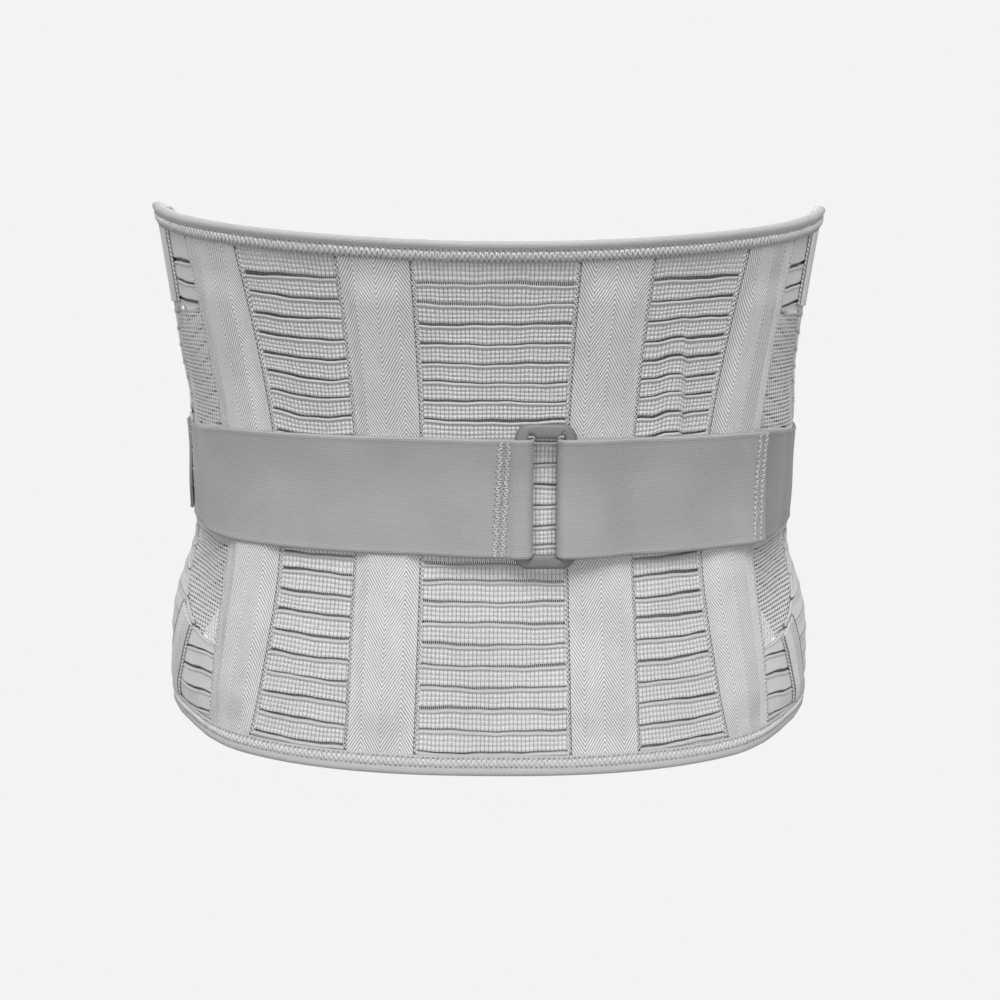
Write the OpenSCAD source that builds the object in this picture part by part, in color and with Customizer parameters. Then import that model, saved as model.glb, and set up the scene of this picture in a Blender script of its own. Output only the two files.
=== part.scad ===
// Lumbar support belt, closed as when it is worn and standing on its bottom hem.
// The back panel faces -Y, the wearer's right side is +X and +Z is up. The origin is on the
// floor plane under the middle of the belt. Every soft piece is cut in a flat chart: s runs
// round the belt from the middle of the back, z is the height, and wrap() lays the chart
// round the torso at a given offset outside the inner face of the fabric.

/* [Torso form] */
// Height of the belt at the middle of the back
back_height = 220; // [200:1:240]
// Half of the inner width at the waist
waist_half_width = 153; // [135:1:165]
// Half of the inner depth at the waist
waist_half_depth = 115; // [100:1:125]
// Height of the narrowest section above the floor
waist_level = 126; // [115:1:135]
// How much wider each side is at the hem than at the waist
hip_flare = 14; // [6:1:18]
// How much wider each side is at the top edge than at the waist
rib_flare = 3; // [0:0.5:10]
// How far the hem stands behind the waist at the back
hip_arch = 24; // [10:1:28]
// How far the top edge stands behind the waist at the back
rib_arch = 22; // [10:1:26]
// Squareness of the section, where 2 is an ellipse
squareness = 2.4; // [2:0.05:2.7]
// Rise of the top edge at the sides above the middle of the back
side_rise = 19.5; // [8:0.5:24]

/* [Front] */
// Height of the front closure's lower edge above the floor
front_low = 38; // [28:1:50]
// Height of the front closure's upper edge above the floor
front_high = 188; // [175:1:200]
// How far each wing passes the middle of the front
overlap = 45; // [35:1:50]
// Distance from the middle of the front to the closure panel's seam
closure_seam = 112; // [100:1:125]
// Radius of the wing's free corners
corner_radius = 22; // [12:1:30]

/* [Fabric] */
// Thickness of the slatted elastic knit
knit_thickness = 1.6; // [1.2:0.1:2]
// Thickness of the open mesh
mesh_thickness = 1; // [0.8:0.1:1.4]
// Thickness of one layer of herringbone webbing
webbing_thickness = 1; // [0.8:0.1:1.1]
// Visible width of the edge binding
binding_width = 8.2; // [6:0.1:10]
// Thickness of one layer of the edge binding
binding_thickness = 1; // [0.8:0.1:1.3]

/* [Stays] */
// Width of a stay
stay_width = 16; // [12:1:18]
// Thickness of a stay
stay_thickness = 0.8; // [0.6:0.05:0.85]
// Distance from each end of a stay to the edge of the belt
stay_end_gap = 24; // [20:1:30]

/* [Pull straps] */
// Width of the elastic straps
strap_width = 50; // [45:1:52]
// Thickness of one ply of the elastic strap
strap_thickness = 1.5; // [1.2:0.1:1.6]
// Height of the straps' middle line above the floor
strap_level = 116.5; // [112:0.5:120]
// Place of the seam that ends the doubled right strap
right_seam = 124.5; // [115:0.5:130]

/* [Buckle] */
// Place of the buckle's middle, measured round the belt from the middle of the back
buckle_place = 22.75; // [20:0.25:26]
// Overall width of the ring
buckle_width = 25.6; // [25:0.1:26]
// Overall height of the ring
buckle_height = 59.2; // [59:0.1:62]
// Thickness of the ring
buckle_thickness = 3; // [2.6:0.1:3]
// Width of the two bars that the straps fold round
bar_width = 4.9; // [4.5:0.1:5]
// Width of the top and bottom bars
end_bar_width = 3.2; // [3:0.1:3.2]

/* [Hidden] */
$fn = 48;

// Clearance between layers that lie on each other, and round a stay in its channel
ply_gap = 0.15;
stay_gap = 0.25;
// Clearance between a binding's two flaps and the fabric between them
flap_gap = 0.3;
// Clearance between the mesh and the curved edge of its window
window_gap = 0.9;
// Distance of the panels, of the back's bindings and of the wings' bindings from the line
// where the wings bend
hinge_gap = 0.35;
binding_gap = 0.9;
wing_binding_gap = 5.6;
// Share of the half girth at which the wings bend
hinge_share = 0.487;
// Reach of the side from the middle of the back, where side_rise is measured
side_reach = 185;
// Chart lengths over which the top edge falls and the hem rises to the front's heights
top_fall = [185, 320];
hem_rise = [240, 335];
// Half widths of the centre panel and the outer edges of the inner channels
inner_near = 31;
inner_far = 62;
// Levels of the two edges of the waist strip, and of the top of the mesh window
strip_low = 88;
strip_high = 142;
window_top_level = 194;
// Reach of the mesh window's front end, and its lowest point beside the outer channel
window_reach = 203;
window_foot = 42;
// Slope of the lower window edge and the place of its lowest point
window_curve = 0.011;
window_foot_place = 132;
// Offset of the straps' inner face
strap_offset = 3.6;
// Middle of the ring's thickness outside the fabric's inner face, and the loop's bend radius
ring_offset = 7.4;
loop_radius = 3.1;
// Height over which the right wing steps up on the left one, and where it does so
wing_step = 4.4;
step_start = 150;
step_length = 70;
// The tabs reach from tab_root to tab_tip, measured from the middle of the front
tab_root = 130;
tab_tip = 57;
tab_height = 56;
// Height by which the ring sits above the straps' middle line
ring_rise = 0.7;
// Distance that the torso's middle is moved by to centre the belt's box on the origin
centre_shift = 7.9;

strap_low = strap_level - strap_width / 2;
strap_high = strap_level + strap_width / 2;

// ---- Torso form ----

function smooth(t) = let (c = min(max(t, 0), 1)) c * c * (3 - 2 * c);
function above(z) = max(0, (z - waist_level) / (back_height - waist_level));
function below(z) = max(0, (waist_level - z) / waist_level);
function half_width(z) =
    waist_half_width + rib_flare * pow(above(z), 1.5) + hip_flare * smooth(below(z) / 0.72);
function back_reach(z) =
    waist_half_depth + rib_arch * pow(above(z), 1.6) + hip_arch * pow(below(z), 1.5);
function front_reach(z) = waist_half_depth + 4 * above(z) + 6 * below(z);
function half_depth(z) = (back_reach(z) + front_reach(z)) / 2;
function middle_y(z) = (front_reach(z) - back_reach(z)) / 2 + centre_shift;

// A signed power, for the section's rounded-square curve
function root_of(v) = sign(v) * pow(abs(v), 2 / squareness);
function section(turn) = [waist_half_width * root_of(sin(turn)), waist_half_depth * root_of(cos(turn))];

// Running length of the waist section against its angle from the middle of the back
section_steps = 360;
section_run = [
    for (i = 0, run = 0; i <= section_steps;
         run = run + norm(section(180 * (i + 1) / section_steps) - section(180 * i / section_steps)),
         i = i + 1)
    [run, 180 * i / section_steps]
];
waist_half_girth = section_run[section_steps][0];

// Half of the way round the belt at height z
function half_girth(z) =
    waist_half_girth * (half_width(z) + half_depth(z)) / (waist_half_width + waist_half_depth);

// Point of the fabric's inner face at the chart place s, z
function torso_point(s, z) =
    let (share = abs(s) / half_girth(z),
         turn = lookup(min(share, 2 - share) * waist_half_girth, section_run),
         side = sign(s) * (share > 1 ? -1 : 1))
    [side * half_width(z) * root_of(sin(turn)), middle_y(z) - half_depth(z) * root_of(cos(turn)), z];

// The same point moved outwards by the offset o
function wrap(s, z, o) =
    let (p = torso_point(s, z),
         d = torso_point(s + 0.5, z) - torso_point(s - 0.5, z),
         n = [d[1], -d[0], 0] / norm(d))
    p + o * n;

// ---- Outlines in the chart ----

function top_edge(s) =
    let (c = smooth((s - top_fall[0]) / (top_fall[1] - top_fall[0])))
    (back_height + side_rise * pow(s / side_reach, 2)) * (1 - c) + front_high * c;
function hem_edge(s) = front_low * smooth((s - hem_rise[0]) / (hem_rise[1] - hem_rise[0]));
function hinge_line(z) = hinge_share * half_girth(z);
function inner_channel_near(z) = inner_near + 2.5 * pow(below(z), 2);
function inner_channel_far(z) = inner_far - 2 + 4 * pow(below(z), 2) + 2 * above(z);
function outer_channel_near(z) = 91.5 + 16 * pow(below(z), 1.6) + 13 * smooth(above(z) * 1.2);
function outer_channel_far(z) = 123 + 15 * pow(below(z), 1.5) + 18 * smooth(above(z));
function window_top(s) =
    let (c = smooth((s - 165) / (window_reach - 165)))
    window_top_level * (1 - c) + (strap_level + 1) * c;
function window_bottom(s) =
    min(strap_level - 1, window_foot + window_curve * pow(max(0, s - window_foot_place), 2)
        + 30 * smooth((s - 172) / (window_reach - 172)));

// ---- Builders ----

// Chart place at the shares u and v of a patch whose four edges are curves
function place(left, right, low, high, u, v, z, rounds = 3) =
    let (s = left(z) + (right(z) - left(z)) * u,
         level = low(s) + (high(s) - low(s)) * v)
    rounds == 0 ? [s, level] : place(left, right, low, high, u, v, level, rounds - 1);

// Lays the chart of the back on the torso, with s counted from the middle of the back
lay_back = function(s, z, o) wrap(s, z, o);
// Lays the chart of a wing on the torso, with d counted from the middle of the front
lay_front = function(d, z, o) wrap(half_girth(z) + d, z, o);

// Sheet of fabric between four edge curves, from the inner offset to the outer one.
// The offsets are functions of the place in the chart.
module patch(left, right, low, high, inner, outer, across, upward, lay = lay_back) {
    places = [for (j = [0:upward], i = [0:across])
        place(left, right, low, high, i / across, j / upward, back_height / 2)];
    count = len(places);
    points = concat([for (p = places) lay(p[0], p[1], outer(p[0], p[1]))],
                    [for (p = places) lay(p[0], p[1], inner(p[0], p[1]))]);
    function at(i, j) = j * (across + 1) + i;
    skins = [for (j = [0:upward - 1], i = [0:across - 1])
        let (a = at(i, j), b = at(i + 1, j), c = at(i + 1, j + 1), d = at(i, j + 1))
        each [[a, d, c], [a, c, b], [a + count, b + count, c + count], [a + count, c + count, d + count]]];
    rim = concat([for (i = [0:across - 1]) [at(i, 0), at(i + 1, 0)]],
                 [for (j = [0:upward - 1]) [at(across, j), at(across, j + 1)]],
                 [for (i = [across:-1:1]) [at(i, upward), at(i - 1, upward)]],
                 [for (j = [upward:-1:1]) [at(0, j), at(0, j - 1)]]);
    walls = [for (e = rim) each [[e[0], e[1], e[1] + count], [e[0], e[1] + count, e[0] + count]]];
    polyhedron(points, concat(skins, walls), convexity = 8);
}

// Sheet of even thickness
module sheet(left, right, low, high, offset, thickness, across, upward) {
    patch(left, right, low, high, function(s, z) offset, function(s, z) offset + thickness,
          across, upward);
}

// Solid through a row of equal closed rings of points, with caps given as faces of one ring
module sweep(rings, cap) {
    size = len(rings[0]);
    last = len(rings) - 1;
    sides = [for (j = [0:last - 1], k = [0:size - 1])
        let (a = j * size + k, b = j * size + (k + 1) % size)
        each [[a, b, b + size], [a, b + size, a + size]]];
    start = [for (f = cap) [f[2], f[1], f[0]]];
    end = [for (f = cap) [f[0] + last * size, f[1] + last * size, f[2] + last * size]];
    polyhedron([for (ring = rings) each ring], concat(sides, start, end), convexity = 8);
}

// Fold-over binding along a path in a chart. lift(d) raises it where the fabric is raised.
module binding(path, face, lift, lay = lay_back) {
    last = len(path) - 1;
    outside = face + flap_gap + binding_thickness;
    inside = -flap_gap - binding_thickness;
    fold = binding_thickness + ply_gap;
    profile = [[0, inside], [binding_width, inside], [binding_width, -flap_gap], [fold, -flap_gap],
               [fold, face + flap_gap], [binding_width, face + flap_gap], [binding_width, outside],
               [0, outside]];
    rings = [for (i = [0:last])
        let (way = path[min(i + 1, last)] - path[max(i - 1, 0)],
             inward = [way[1], -way[0]] / norm(way))
        [for (q = profile)
            let (p = path[i] + q[0] * inward)
            lay(p[0], p[1], q[1] + lift(p[0]))]];
    sweep(rings, [[0, 1, 2], [0, 2, 3], [0, 3, 4], [0, 4, 7], [4, 5, 6], [4, 6, 7]]);
}

// Ribbon on edge: a path of [s, offset] between two levels
module ribbon(path, low, high, thickness, lay = lay_back) {
    last = len(path) - 1;
    rings = [for (i = [0:last])
        let (way = path[min(i + 1, last)] - path[max(i - 1, 0)],
             side = [-way[1], way[0]] * (thickness / 2 / norm(way)),
             a = path[i] + side, b = path[i] - side)
        [lay(a[0], low, a[1]), lay(a[0], high, a[1]), lay(b[0], high, b[1]), lay(b[0], low, b[1])]];
    sweep(rings, [[0, 1, 2], [0, 2, 3]]);
}

module mirrored() {
    mirror([1, 0, 0]) children();
}

// ---- Back panels ----

panel_low = function(s) hem_edge(s) + binding_thickness + 2 * ply_gap;
panel_high = function(s) top_edge(s) - binding_thickness - 3 * ply_gap;

module centre_panel() {
    color("gainsboro")
        sheet(function(z) ply_gap - inner_channel_near(z), function(z) inner_channel_near(z) - ply_gap,
              panel_low, panel_high, 0, knit_thickness, 6, 18);
}

module back_panel() {
    color("gainsboro")
        sheet(function(z) inner_channel_far(z) + ply_gap, function(z) outer_channel_near(z) - ply_gap,
              panel_low, panel_high, 0, knit_thickness, 5, 18);
}

module side_panel_upper() {
    color("gainsboro")
        sheet(function(z) outer_channel_far(z) + ply_gap, function(z) hinge_line(z) - hinge_gap,
              function(s) window_top(s) + ply_gap, panel_high, 0, knit_thickness, 24, 6);
}

module side_panel_lower() {
    color("gainsboro")
        sheet(function(z) outer_channel_far(z) + ply_gap, function(z) hinge_line(z) - hinge_gap,
              panel_low, function(s) window_bottom(s) - ply_gap, 0, knit_thickness, 24, 6);
}

// ---- Mesh window and waist strip ----

// Reach at which the window's curve comes down to the strip, or up to it
upper_mesh_end = [for (s = [165:0.5:window_reach]) if (window_top(s) < strip_high + 2) s][0];
lower_mesh_end = [for (s = [165:0.5:window_reach]) if (window_bottom(s) > strip_low - 2) s][0];

module side_mesh_upper() {
    color("gray")
        sheet(function(z) outer_channel_far(z) + ply_gap, function(z) upper_mesh_end,
              function(s) strip_high + ply_gap, function(s) window_top(s) - window_gap,
              0, mesh_thickness, 14, 5);
}

module side_mesh_lower() {
    color("gray")
        sheet(function(z) outer_channel_far(z) + ply_gap, function(z) lower_mesh_end,
              function(s) window_bottom(s) + window_gap, function(s) strip_low - ply_gap,
              0, mesh_thickness, 14, 5);
}

module waist_strip() {
    color("silver")
        sheet(function(z) outer_channel_far(z) + ply_gap, function(z) window_reach - 4,
              function(s) max(strip_low, window_bottom(s) + window_gap),
              function(s) min(strip_high, window_top(s) - window_gap), 0, mesh_thickness, 16, 3);
}

// ---- Side tapes ----

module side_tape_upper() {
    color("lightgray")
        sheet(function(z) 160 + 0.12 * (z - 197), function(z) 178 + 0.12 * (z - 197),
              function(s) window_top(s) + 1, function(s) top_edge(s) - binding_width - 2 * ply_gap,
              knit_thickness + ply_gap, webbing_thickness, 3, 4);
}

module side_tape_lower() {
    color("lightgray")
        sheet(function(z) 172 - 0.55 * (z - 10), function(z) 190 - 0.55 * (z - 10),
              function(s) binding_width + 2 * ply_gap, function(s) window_bottom(s) - 1,
              knit_thickness + ply_gap, webbing_thickness, 3, 5);
}

// ---- Stay channels ----

// Share by which the webbing is raised over a stay whose middle line is given
function bulge(s, z, middle) =
    smooth((stay_width / 2 + 6 - abs(s - middle)) / 4)
    * smooth((z - stay_end_gap + 10) / 10)
    * smooth((back_height - stay_end_gap + 12 - z) / 8);

module channel(near, far) {
    step = stay_thickness + 2 * stay_gap - ply_gap;
    color("lightgray")
        patch(function(z) near(z), function(z) far(z), panel_low, panel_high,
              function(s, z) webbing_thickness + ply_gap + step * bulge(s, z, (near(z) + far(z)) / 2),
              function(s, z) 2 * webbing_thickness + ply_gap
                  + step * bulge(s, z, (near(z) + far(z)) / 2), 8, 18);
}

module lining(near, far) {
    color("darkgray")
        sheet(near, far, panel_low, panel_high, 0, webbing_thickness, 5, 18);
}

module stay(near, far) {
    color("slategray")
        sheet(function(z) (near(z) + far(z) - stay_width) / 2, function(z) (near(z) + far(z) + stay_width) / 2,
              function(s) stay_end_gap, function(s) back_height - stay_end_gap,
              webbing_thickness + stay_gap, stay_thickness, 4, 18);
}

inner_near_line = function(z) inner_channel_near(z);
inner_far_line = function(z) inner_channel_far(z);
outer_near_line = function(z) outer_channel_near(z);
outer_far_line = function(z) outer_channel_far(z);

// ---- Bindings of the back ----

binding_face = 2 * webbing_thickness + ply_gap;
hinge_top = hinge_share * half_girth(back_height);
hinge_hem = hinge_share * half_girth(0);
back_steps = 50;

module top_binding_back() {
    color("darkgray")
        binding([for (i = [0:back_steps])
                     let (s = (hinge_top - binding_gap) * (2 * i / back_steps - 1))
                     [s, top_edge(abs(s))]],
                binding_face, function(s) 0);
}

module bottom_binding_back() {
    color("darkgray")
        binding([for (i = [0:back_steps])
                     let (s = (hinge_hem - binding_gap) * (1 - 2 * i / back_steps))
                     [s, hem_edge(abs(s))]],
                binding_face, function(s) 0);
}

// ---- Pull straps ----

ply = strap_offset + strap_thickness / 2;
over_ring = ring_offset + loop_radius;
under_ring = ring_offset - loop_radius;
left_bend = buckle_place - buckle_width / 2 + bar_width - strap_thickness / 2;
right_bend = buckle_place + buckle_width / 2 - bar_width + strap_thickness / 2;
strap_end = hinge_share * half_girth(strap_level) - 1;

// Height of the left strap's upper ply and of the ply that returns under it
function left_upper(s) =
    ply + (ring_offset + 0.85 - ply) * smooth((s + 34) / 32)
    + (over_ring - ring_offset - 0.85) * smooth((s - left_bend + 8) / 5);
function left_lower(s) =
    ring_offset - 0.85 + (under_ring - ring_offset + 0.85) * smooth((s - left_bend + 8) / 5);

module strap_left() {
    color("gray")
        ribbon(concat([for (i = [0:24]) let (s = -strap_end + i * (strap_end - 34) / 24) [s, left_upper(s)]],
                      [for (i = [1:22]) let (s = -34 + i * (left_bend + 34) / 22) [s, left_upper(s)]],
                      [for (turn = [75:-15:-75])
                          [left_bend + loop_radius * cos(turn), ring_offset + loop_radius * sin(turn)]],
                      [for (i = [0:8]) let (s = left_bend - i * 1.9) [s, left_lower(s)]]),
               strap_low, strap_high, strap_thickness);
}

// Heights of the two plies of the right strap
ply_step = strap_thickness + ply_gap;
function right_upper(s) =
    ply + ply_step + (over_ring - ply - ply_step) * (1 - smooth((s - right_bend - 6) / 26))
    + (webbing_thickness + ply_gap) * smooth((s - right_seam + 18) / 10);

module strap_right() {
    reach = right_seam + 4.5 - right_bend;
    color("gray")
        ribbon(concat([for (i = [18:-1:0]) let (s = right_bend + i * reach / 18) [s, under_ring]],
                      [for (turn = [-105:-15:-255])
                          [right_bend + loop_radius * cos(turn), ring_offset + loop_radius * sin(turn)]],
                      [for (i = [0:24]) let (s = right_bend + i * reach / 24) [s, right_upper(s)]]),
               strap_low, strap_high, strap_thickness);
}

module strap_webbing_right() {
    start = right_seam - 5;
    between = ply + strap_thickness / 2 + ply_gap + webbing_thickness / 2;
    color("dimgray")
        ribbon([for (i = [0:16])
                    let (s = start + i * (strap_end - start) / 16)
                    [s, between + (ply - between) * smooth((s - right_seam - 8) / 26)]],
               strap_low, strap_high, webbing_thickness);
}

// A raised row of thread across a strap at chart place s, on the ply whose height is top
module seam(s, half, top) {
    color("whitesmoke")
        ribbon([for (i = [0:3]) [s - half + i * half * 2 / 3, top(s - half + i * half * 2 / 3) + 1.15]],
               strap_low, strap_high, 0.4);
}

// ---- Buckle ----

// Rectangle with round corners, made of true circles
module rounded(width, height, radius) {
    square([width - 2 * radius, height], center = true);
    square([width, height - 2 * radius], center = true);
    for (x = [-1, 1], y = [-1, 1])
        translate([x * (width / 2 - radius), y * (height / 2 - radius)]) circle(radius);
}

ring_lean = atan((back_reach(strap_low) - back_reach(strap_high)) / strap_width);
ring_turn = atan((wrap(buckle_place + 6, strap_level, 0)[1] - wrap(buckle_place - 6, strap_level, 0)[1]) / 12);
ring_low = wrap(buckle_place, strap_low, ring_offset);
ring_high = wrap(buckle_place, strap_high, ring_offset);

module buckle_ring() {
    opening_width = buckle_width - 2 * bar_width;
    opening_height = buckle_height - 2 * end_bar_width;
    color("dimgray")
        translate((ring_low + ring_high) / 2 + [0, 0, ring_rise])
            rotate([90 - ring_lean, 0, ring_turn])
                linear_extrude(height = buckle_thickness, center = true)
                    difference() {
                        rounded(buckle_width, buckle_height, 4);
                        rounded(opening_width, opening_height, 1.2);
                    }
}

// ---- Front wings ----
// Their chart counts d from the middle of the front, rising past it to the wing's free tip.

// Height of an edge curve of the back's chart at the distance d from the middle of the front
function edge_at(edge, d, z, rounds = 4) =
    rounds == 0 ? z : edge_at(edge, d, edge(half_girth(z) + d), rounds - 1);
function front_top(d) = edge_at(function(s) top_edge(s), d, front_high);
function front_hem(d) = edge_at(function(s) hem_edge(s), d, front_low);

// Height of the right wing over the left one
function step_up(d) = wing_step * smooth((step_start + d) / step_length);

// Inset of a rounded free corner at the distance d, for a wing that ends at tip
function corner(d, tip, radius) =
    let (run = min(max(0, d - tip + radius), radius - 0.2))
    radius - sqrt(radius * radius - run * run);

panel_inset = binding_thickness + 5 * ply_gap;

module wing_panel(step) {
    color("gainsboro")
        patch(function(z) hinge_line(z) + hinge_gap - half_girth(z),
              function(z) -closure_seam - ply_gap,
              function(d) front_hem(d) + panel_inset, function(d) front_top(d) - panel_inset,
              function(d, z) step * step_up(d),
              function(d, z) knit_thickness + step * step_up(d), 12, 18, lay_front);
}

module closure_panel(step) {
    tip = overlap - panel_inset;
    radius = corner_radius - panel_inset;
    patch(function(z) -closure_seam + ply_gap, function(z) tip,
          function(d) front_hem(d) + panel_inset + corner(d, tip, radius),
          function(d) front_top(d) - panel_inset - corner(d, tip, radius),
          function(d, z) step * step_up(d), function(d, z) knit_thickness + step * step_up(d),
          22, 8, lay_front);
}

module closure_loop_panel() {
    color("darkgray") mirrored() closure_panel(0);
}

module closure_cover_panel() {
    color("darkgray") closure_panel(1);
}

module closure_hook_patch() {
    inner_face = knit_thickness + 0.35;
    outer_face = wing_step - 0.3;
    color("dimgray")
        patch(function(z) -30, function(z) 30, function(d) front_low + 16, function(d) front_high - 16,
              function(d, z) inner_face, function(d, z) outer_face, 12, 8, lay_front);
}

// Outline of a wing from its top at the bend, round the free corners, to its hem at the bend
function wing_outline() =
    let (top_start = hinge_share * half_girth(top_edge(hinge_top)) + wing_binding_gap
                     - half_girth(top_edge(hinge_top)),
         hem_start = hinge_hem + wing_binding_gap - half_girth(0),
         turn = overlap - corner_radius,
         r = corner_radius)
    concat([for (i = [0:26]) let (d = top_start + (turn - top_start) * i / 26) [d, front_top(d)]],
           [for (a = [75:-15:0]) [turn + r * cos(a), front_high - r + r * sin(a)]],
           [for (i = [1:5]) [overlap, front_high - r - i * (front_high - front_low - 2 * r) / 6]],
           [for (a = [0:-15:-75]) [turn + r * cos(a), front_low + r + r * sin(a)]],
           [for (i = [26:-1:0]) let (d = hem_start + (turn - hem_start) * i / 26) [d, front_hem(d)]]);

module edge_binding(step) {
    color("darkgray")
        binding(wing_outline(), knit_thickness, function(d) step * step_up(d), lay_front);
}

// ---- Front runs of the straps, with their tabs ----

module strap_front(step) {
    first = strap_end + 2 - half_girth(strap_level);
    last = -tab_root - 2.5;
    color("gray")
        ribbon([for (i = [0:16])
                    let (d = first + (last - first) * i / 16)
                    [d, ply + step * step_up(d)]],
               strap_low, strap_high, strap_thickness, lay_front);
}

// Layer of a tab, inset by margin from the tab's outline
module tab_layer(step, inner_face, outer_face, margin) {
    half = tab_height / 2 - margin;
    patch(function(z) -tab_root + margin, function(z) -tab_tip - margin,
          function(d) strap_level - half, function(d) strap_level + half,
          function(d, z) inner_face + step * step_up(d), function(d, z) outer_face + step * step_up(d),
          12, 4, lay_front);
}

module strap_tab(step) {
    color("dimgray") tab_layer(step, strap_offset + ply_gap, strap_offset + ply_gap + 1.8, 0);
}

module tab_hook(step) {
    color("black") tab_layer(step, knit_thickness + 0.4, strap_offset - ply_gap, 5);
}

centre_panel();
mirrored() back_panel();  // back_panel_left
back_panel();  // back_panel_right
mirrored() channel(inner_near_line, inner_far_line);  // channel_inner_left
channel(inner_near_line, inner_far_line);  // channel_inner_right
mirrored() channel(outer_near_line, outer_far_line);  // channel_outer_left
channel(outer_near_line, outer_far_line);  // channel_outer_right
mirrored() lining(inner_near_line, inner_far_line);  // lining_inner_left
lining(inner_near_line, inner_far_line);  // lining_inner_right
mirrored() lining(outer_near_line, outer_far_line);  // lining_outer_left
lining(outer_near_line, outer_far_line);  // lining_outer_right
mirrored() stay(inner_near_line, inner_far_line);  // stay_inner_left
stay(inner_near_line, inner_far_line);  // stay_inner_right
mirrored() stay(outer_near_line, outer_far_line);  // stay_outer_left
stay(outer_near_line, outer_far_line);  // stay_outer_right
mirrored() side_panel_upper();  // side_panel_upper_left
side_panel_upper();  // side_panel_upper_right
mirrored() side_panel_lower();  // side_panel_lower_left
side_panel_lower();  // side_panel_lower_right
mirrored() side_mesh_upper();  // side_mesh_upper_left
side_mesh_upper();  // side_mesh_upper_right
mirrored() side_mesh_lower();  // side_mesh_lower_left
side_mesh_lower();  // side_mesh_lower_right
mirrored() waist_strip();  // waist_strip_left
waist_strip();  // waist_strip_right
mirrored() side_tape_upper();  // side_tape_upper_left
side_tape_upper();  // side_tape_upper_right
mirrored() side_tape_lower();  // side_tape_lower_left
side_tape_lower();  // side_tape_lower_right
top_binding_back();
bottom_binding_back();
strap_left();
strap_right();
strap_webbing_right();
seam(3.5, 2.6, function(s) left_upper(s));  // strap_seam_left
seam(right_seam, 3.5, function(s) right_upper(s));  // strap_seam_right
buckle_ring();
mirrored() wing_panel(0);  // wing_panel_left
wing_panel(1);  // wing_panel_right
closure_loop_panel();
closure_cover_panel();
closure_hook_patch();
mirrored() edge_binding(0);  // edge_binding_left
edge_binding(1);  // edge_binding_right
mirrored() strap_front(0);  // strap_front_left
strap_front(1);  // strap_front_right
mirrored() strap_tab(0);  // strap_tab_left
strap_tab(1);  // strap_tab_right
mirrored() tab_hook(0);  // tab_hook_left
tab_hook(1);  // tab_hook_right
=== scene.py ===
"""Lumbar support belt, seen from behind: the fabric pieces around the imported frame.

Lengths are in millimetres until place() turns them into metres. Every soft piece is cut in the
same flat chart as the CAD: s runs round the belt from the middle of the back and z is the height.
"""
import math

import bpy
import mathutils
import numpy as np
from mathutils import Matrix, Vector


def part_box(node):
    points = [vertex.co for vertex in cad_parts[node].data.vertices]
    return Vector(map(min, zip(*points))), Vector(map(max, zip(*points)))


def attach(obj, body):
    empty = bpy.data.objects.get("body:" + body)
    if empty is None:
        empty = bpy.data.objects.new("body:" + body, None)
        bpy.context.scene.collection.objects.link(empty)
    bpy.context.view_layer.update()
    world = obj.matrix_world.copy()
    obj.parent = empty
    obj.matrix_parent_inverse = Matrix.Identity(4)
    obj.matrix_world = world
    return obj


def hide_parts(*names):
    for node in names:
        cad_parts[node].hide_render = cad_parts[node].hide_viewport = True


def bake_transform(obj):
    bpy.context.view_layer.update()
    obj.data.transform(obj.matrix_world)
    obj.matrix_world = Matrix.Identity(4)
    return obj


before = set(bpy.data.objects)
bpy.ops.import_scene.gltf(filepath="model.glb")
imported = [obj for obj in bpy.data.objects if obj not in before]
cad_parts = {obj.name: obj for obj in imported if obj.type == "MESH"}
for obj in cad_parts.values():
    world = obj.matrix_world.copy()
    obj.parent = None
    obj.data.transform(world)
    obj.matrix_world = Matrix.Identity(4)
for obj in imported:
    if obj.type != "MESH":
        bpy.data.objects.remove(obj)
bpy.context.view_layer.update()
MM = 0.001
rng = np.random.RandomState(11)

# ---- Torso form, as in the CAD ----
BACK_HEIGHT, WAIST = 220.0, 126.0
HALF_WIDTH, HALF_DEPTH = 153.0, 115.0
HIP_FLARE, RIB_FLARE, HIP_ARCH, RIB_ARCH = 14.0, 3.0, 24.0, 22.0
ROOT = 2 / 2.4
SIDE_RISE, SIDE_REACH = 19.5, 185.0
FRONT_LOW, FRONT_HIGH = 38.0, 188.0
TOP_FALL, HEM_RISE = (185.0, 320.0), (240.0, 335.0)
HINGE_SHARE = 0.487
CENTRE_SHIFT = 7.9


def smooth(t):
    c = np.clip(t, 0, 1)
    return c * c * (3 - 2 * c)


def above(z):
    return np.maximum(0, (z - WAIST) / (BACK_HEIGHT - WAIST))


def below(z):
    return np.maximum(0, (WAIST - z) / WAIST)


def half_width(z):
    return HALF_WIDTH + RIB_FLARE * above(z) ** 1.5 + HIP_FLARE * smooth(below(z) / 0.72)


def back_reach(z):
    return HALF_DEPTH + RIB_ARCH * above(z) ** 1.6 + HIP_ARCH * below(z) ** 1.5


def front_reach(z):
    return HALF_DEPTH + 4 * above(z) + 6 * below(z)


def root_of(v):
    return np.sign(v) * np.abs(v) ** ROOT


turns = np.linspace(0, math.pi, 1441)
section = np.stack([HALF_WIDTH * root_of(np.sin(turns)), HALF_DEPTH * root_of(np.cos(turns))], 1)
run = np.concatenate([[0], np.cumsum(np.linalg.norm(np.diff(section, axis=0), axis=1))])


def half_girth(z):
    half_depth = (back_reach(z) + front_reach(z)) / 2
    return run[-1] * (half_width(z) + half_depth) / (HALF_WIDTH + HALF_DEPTH)


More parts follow.
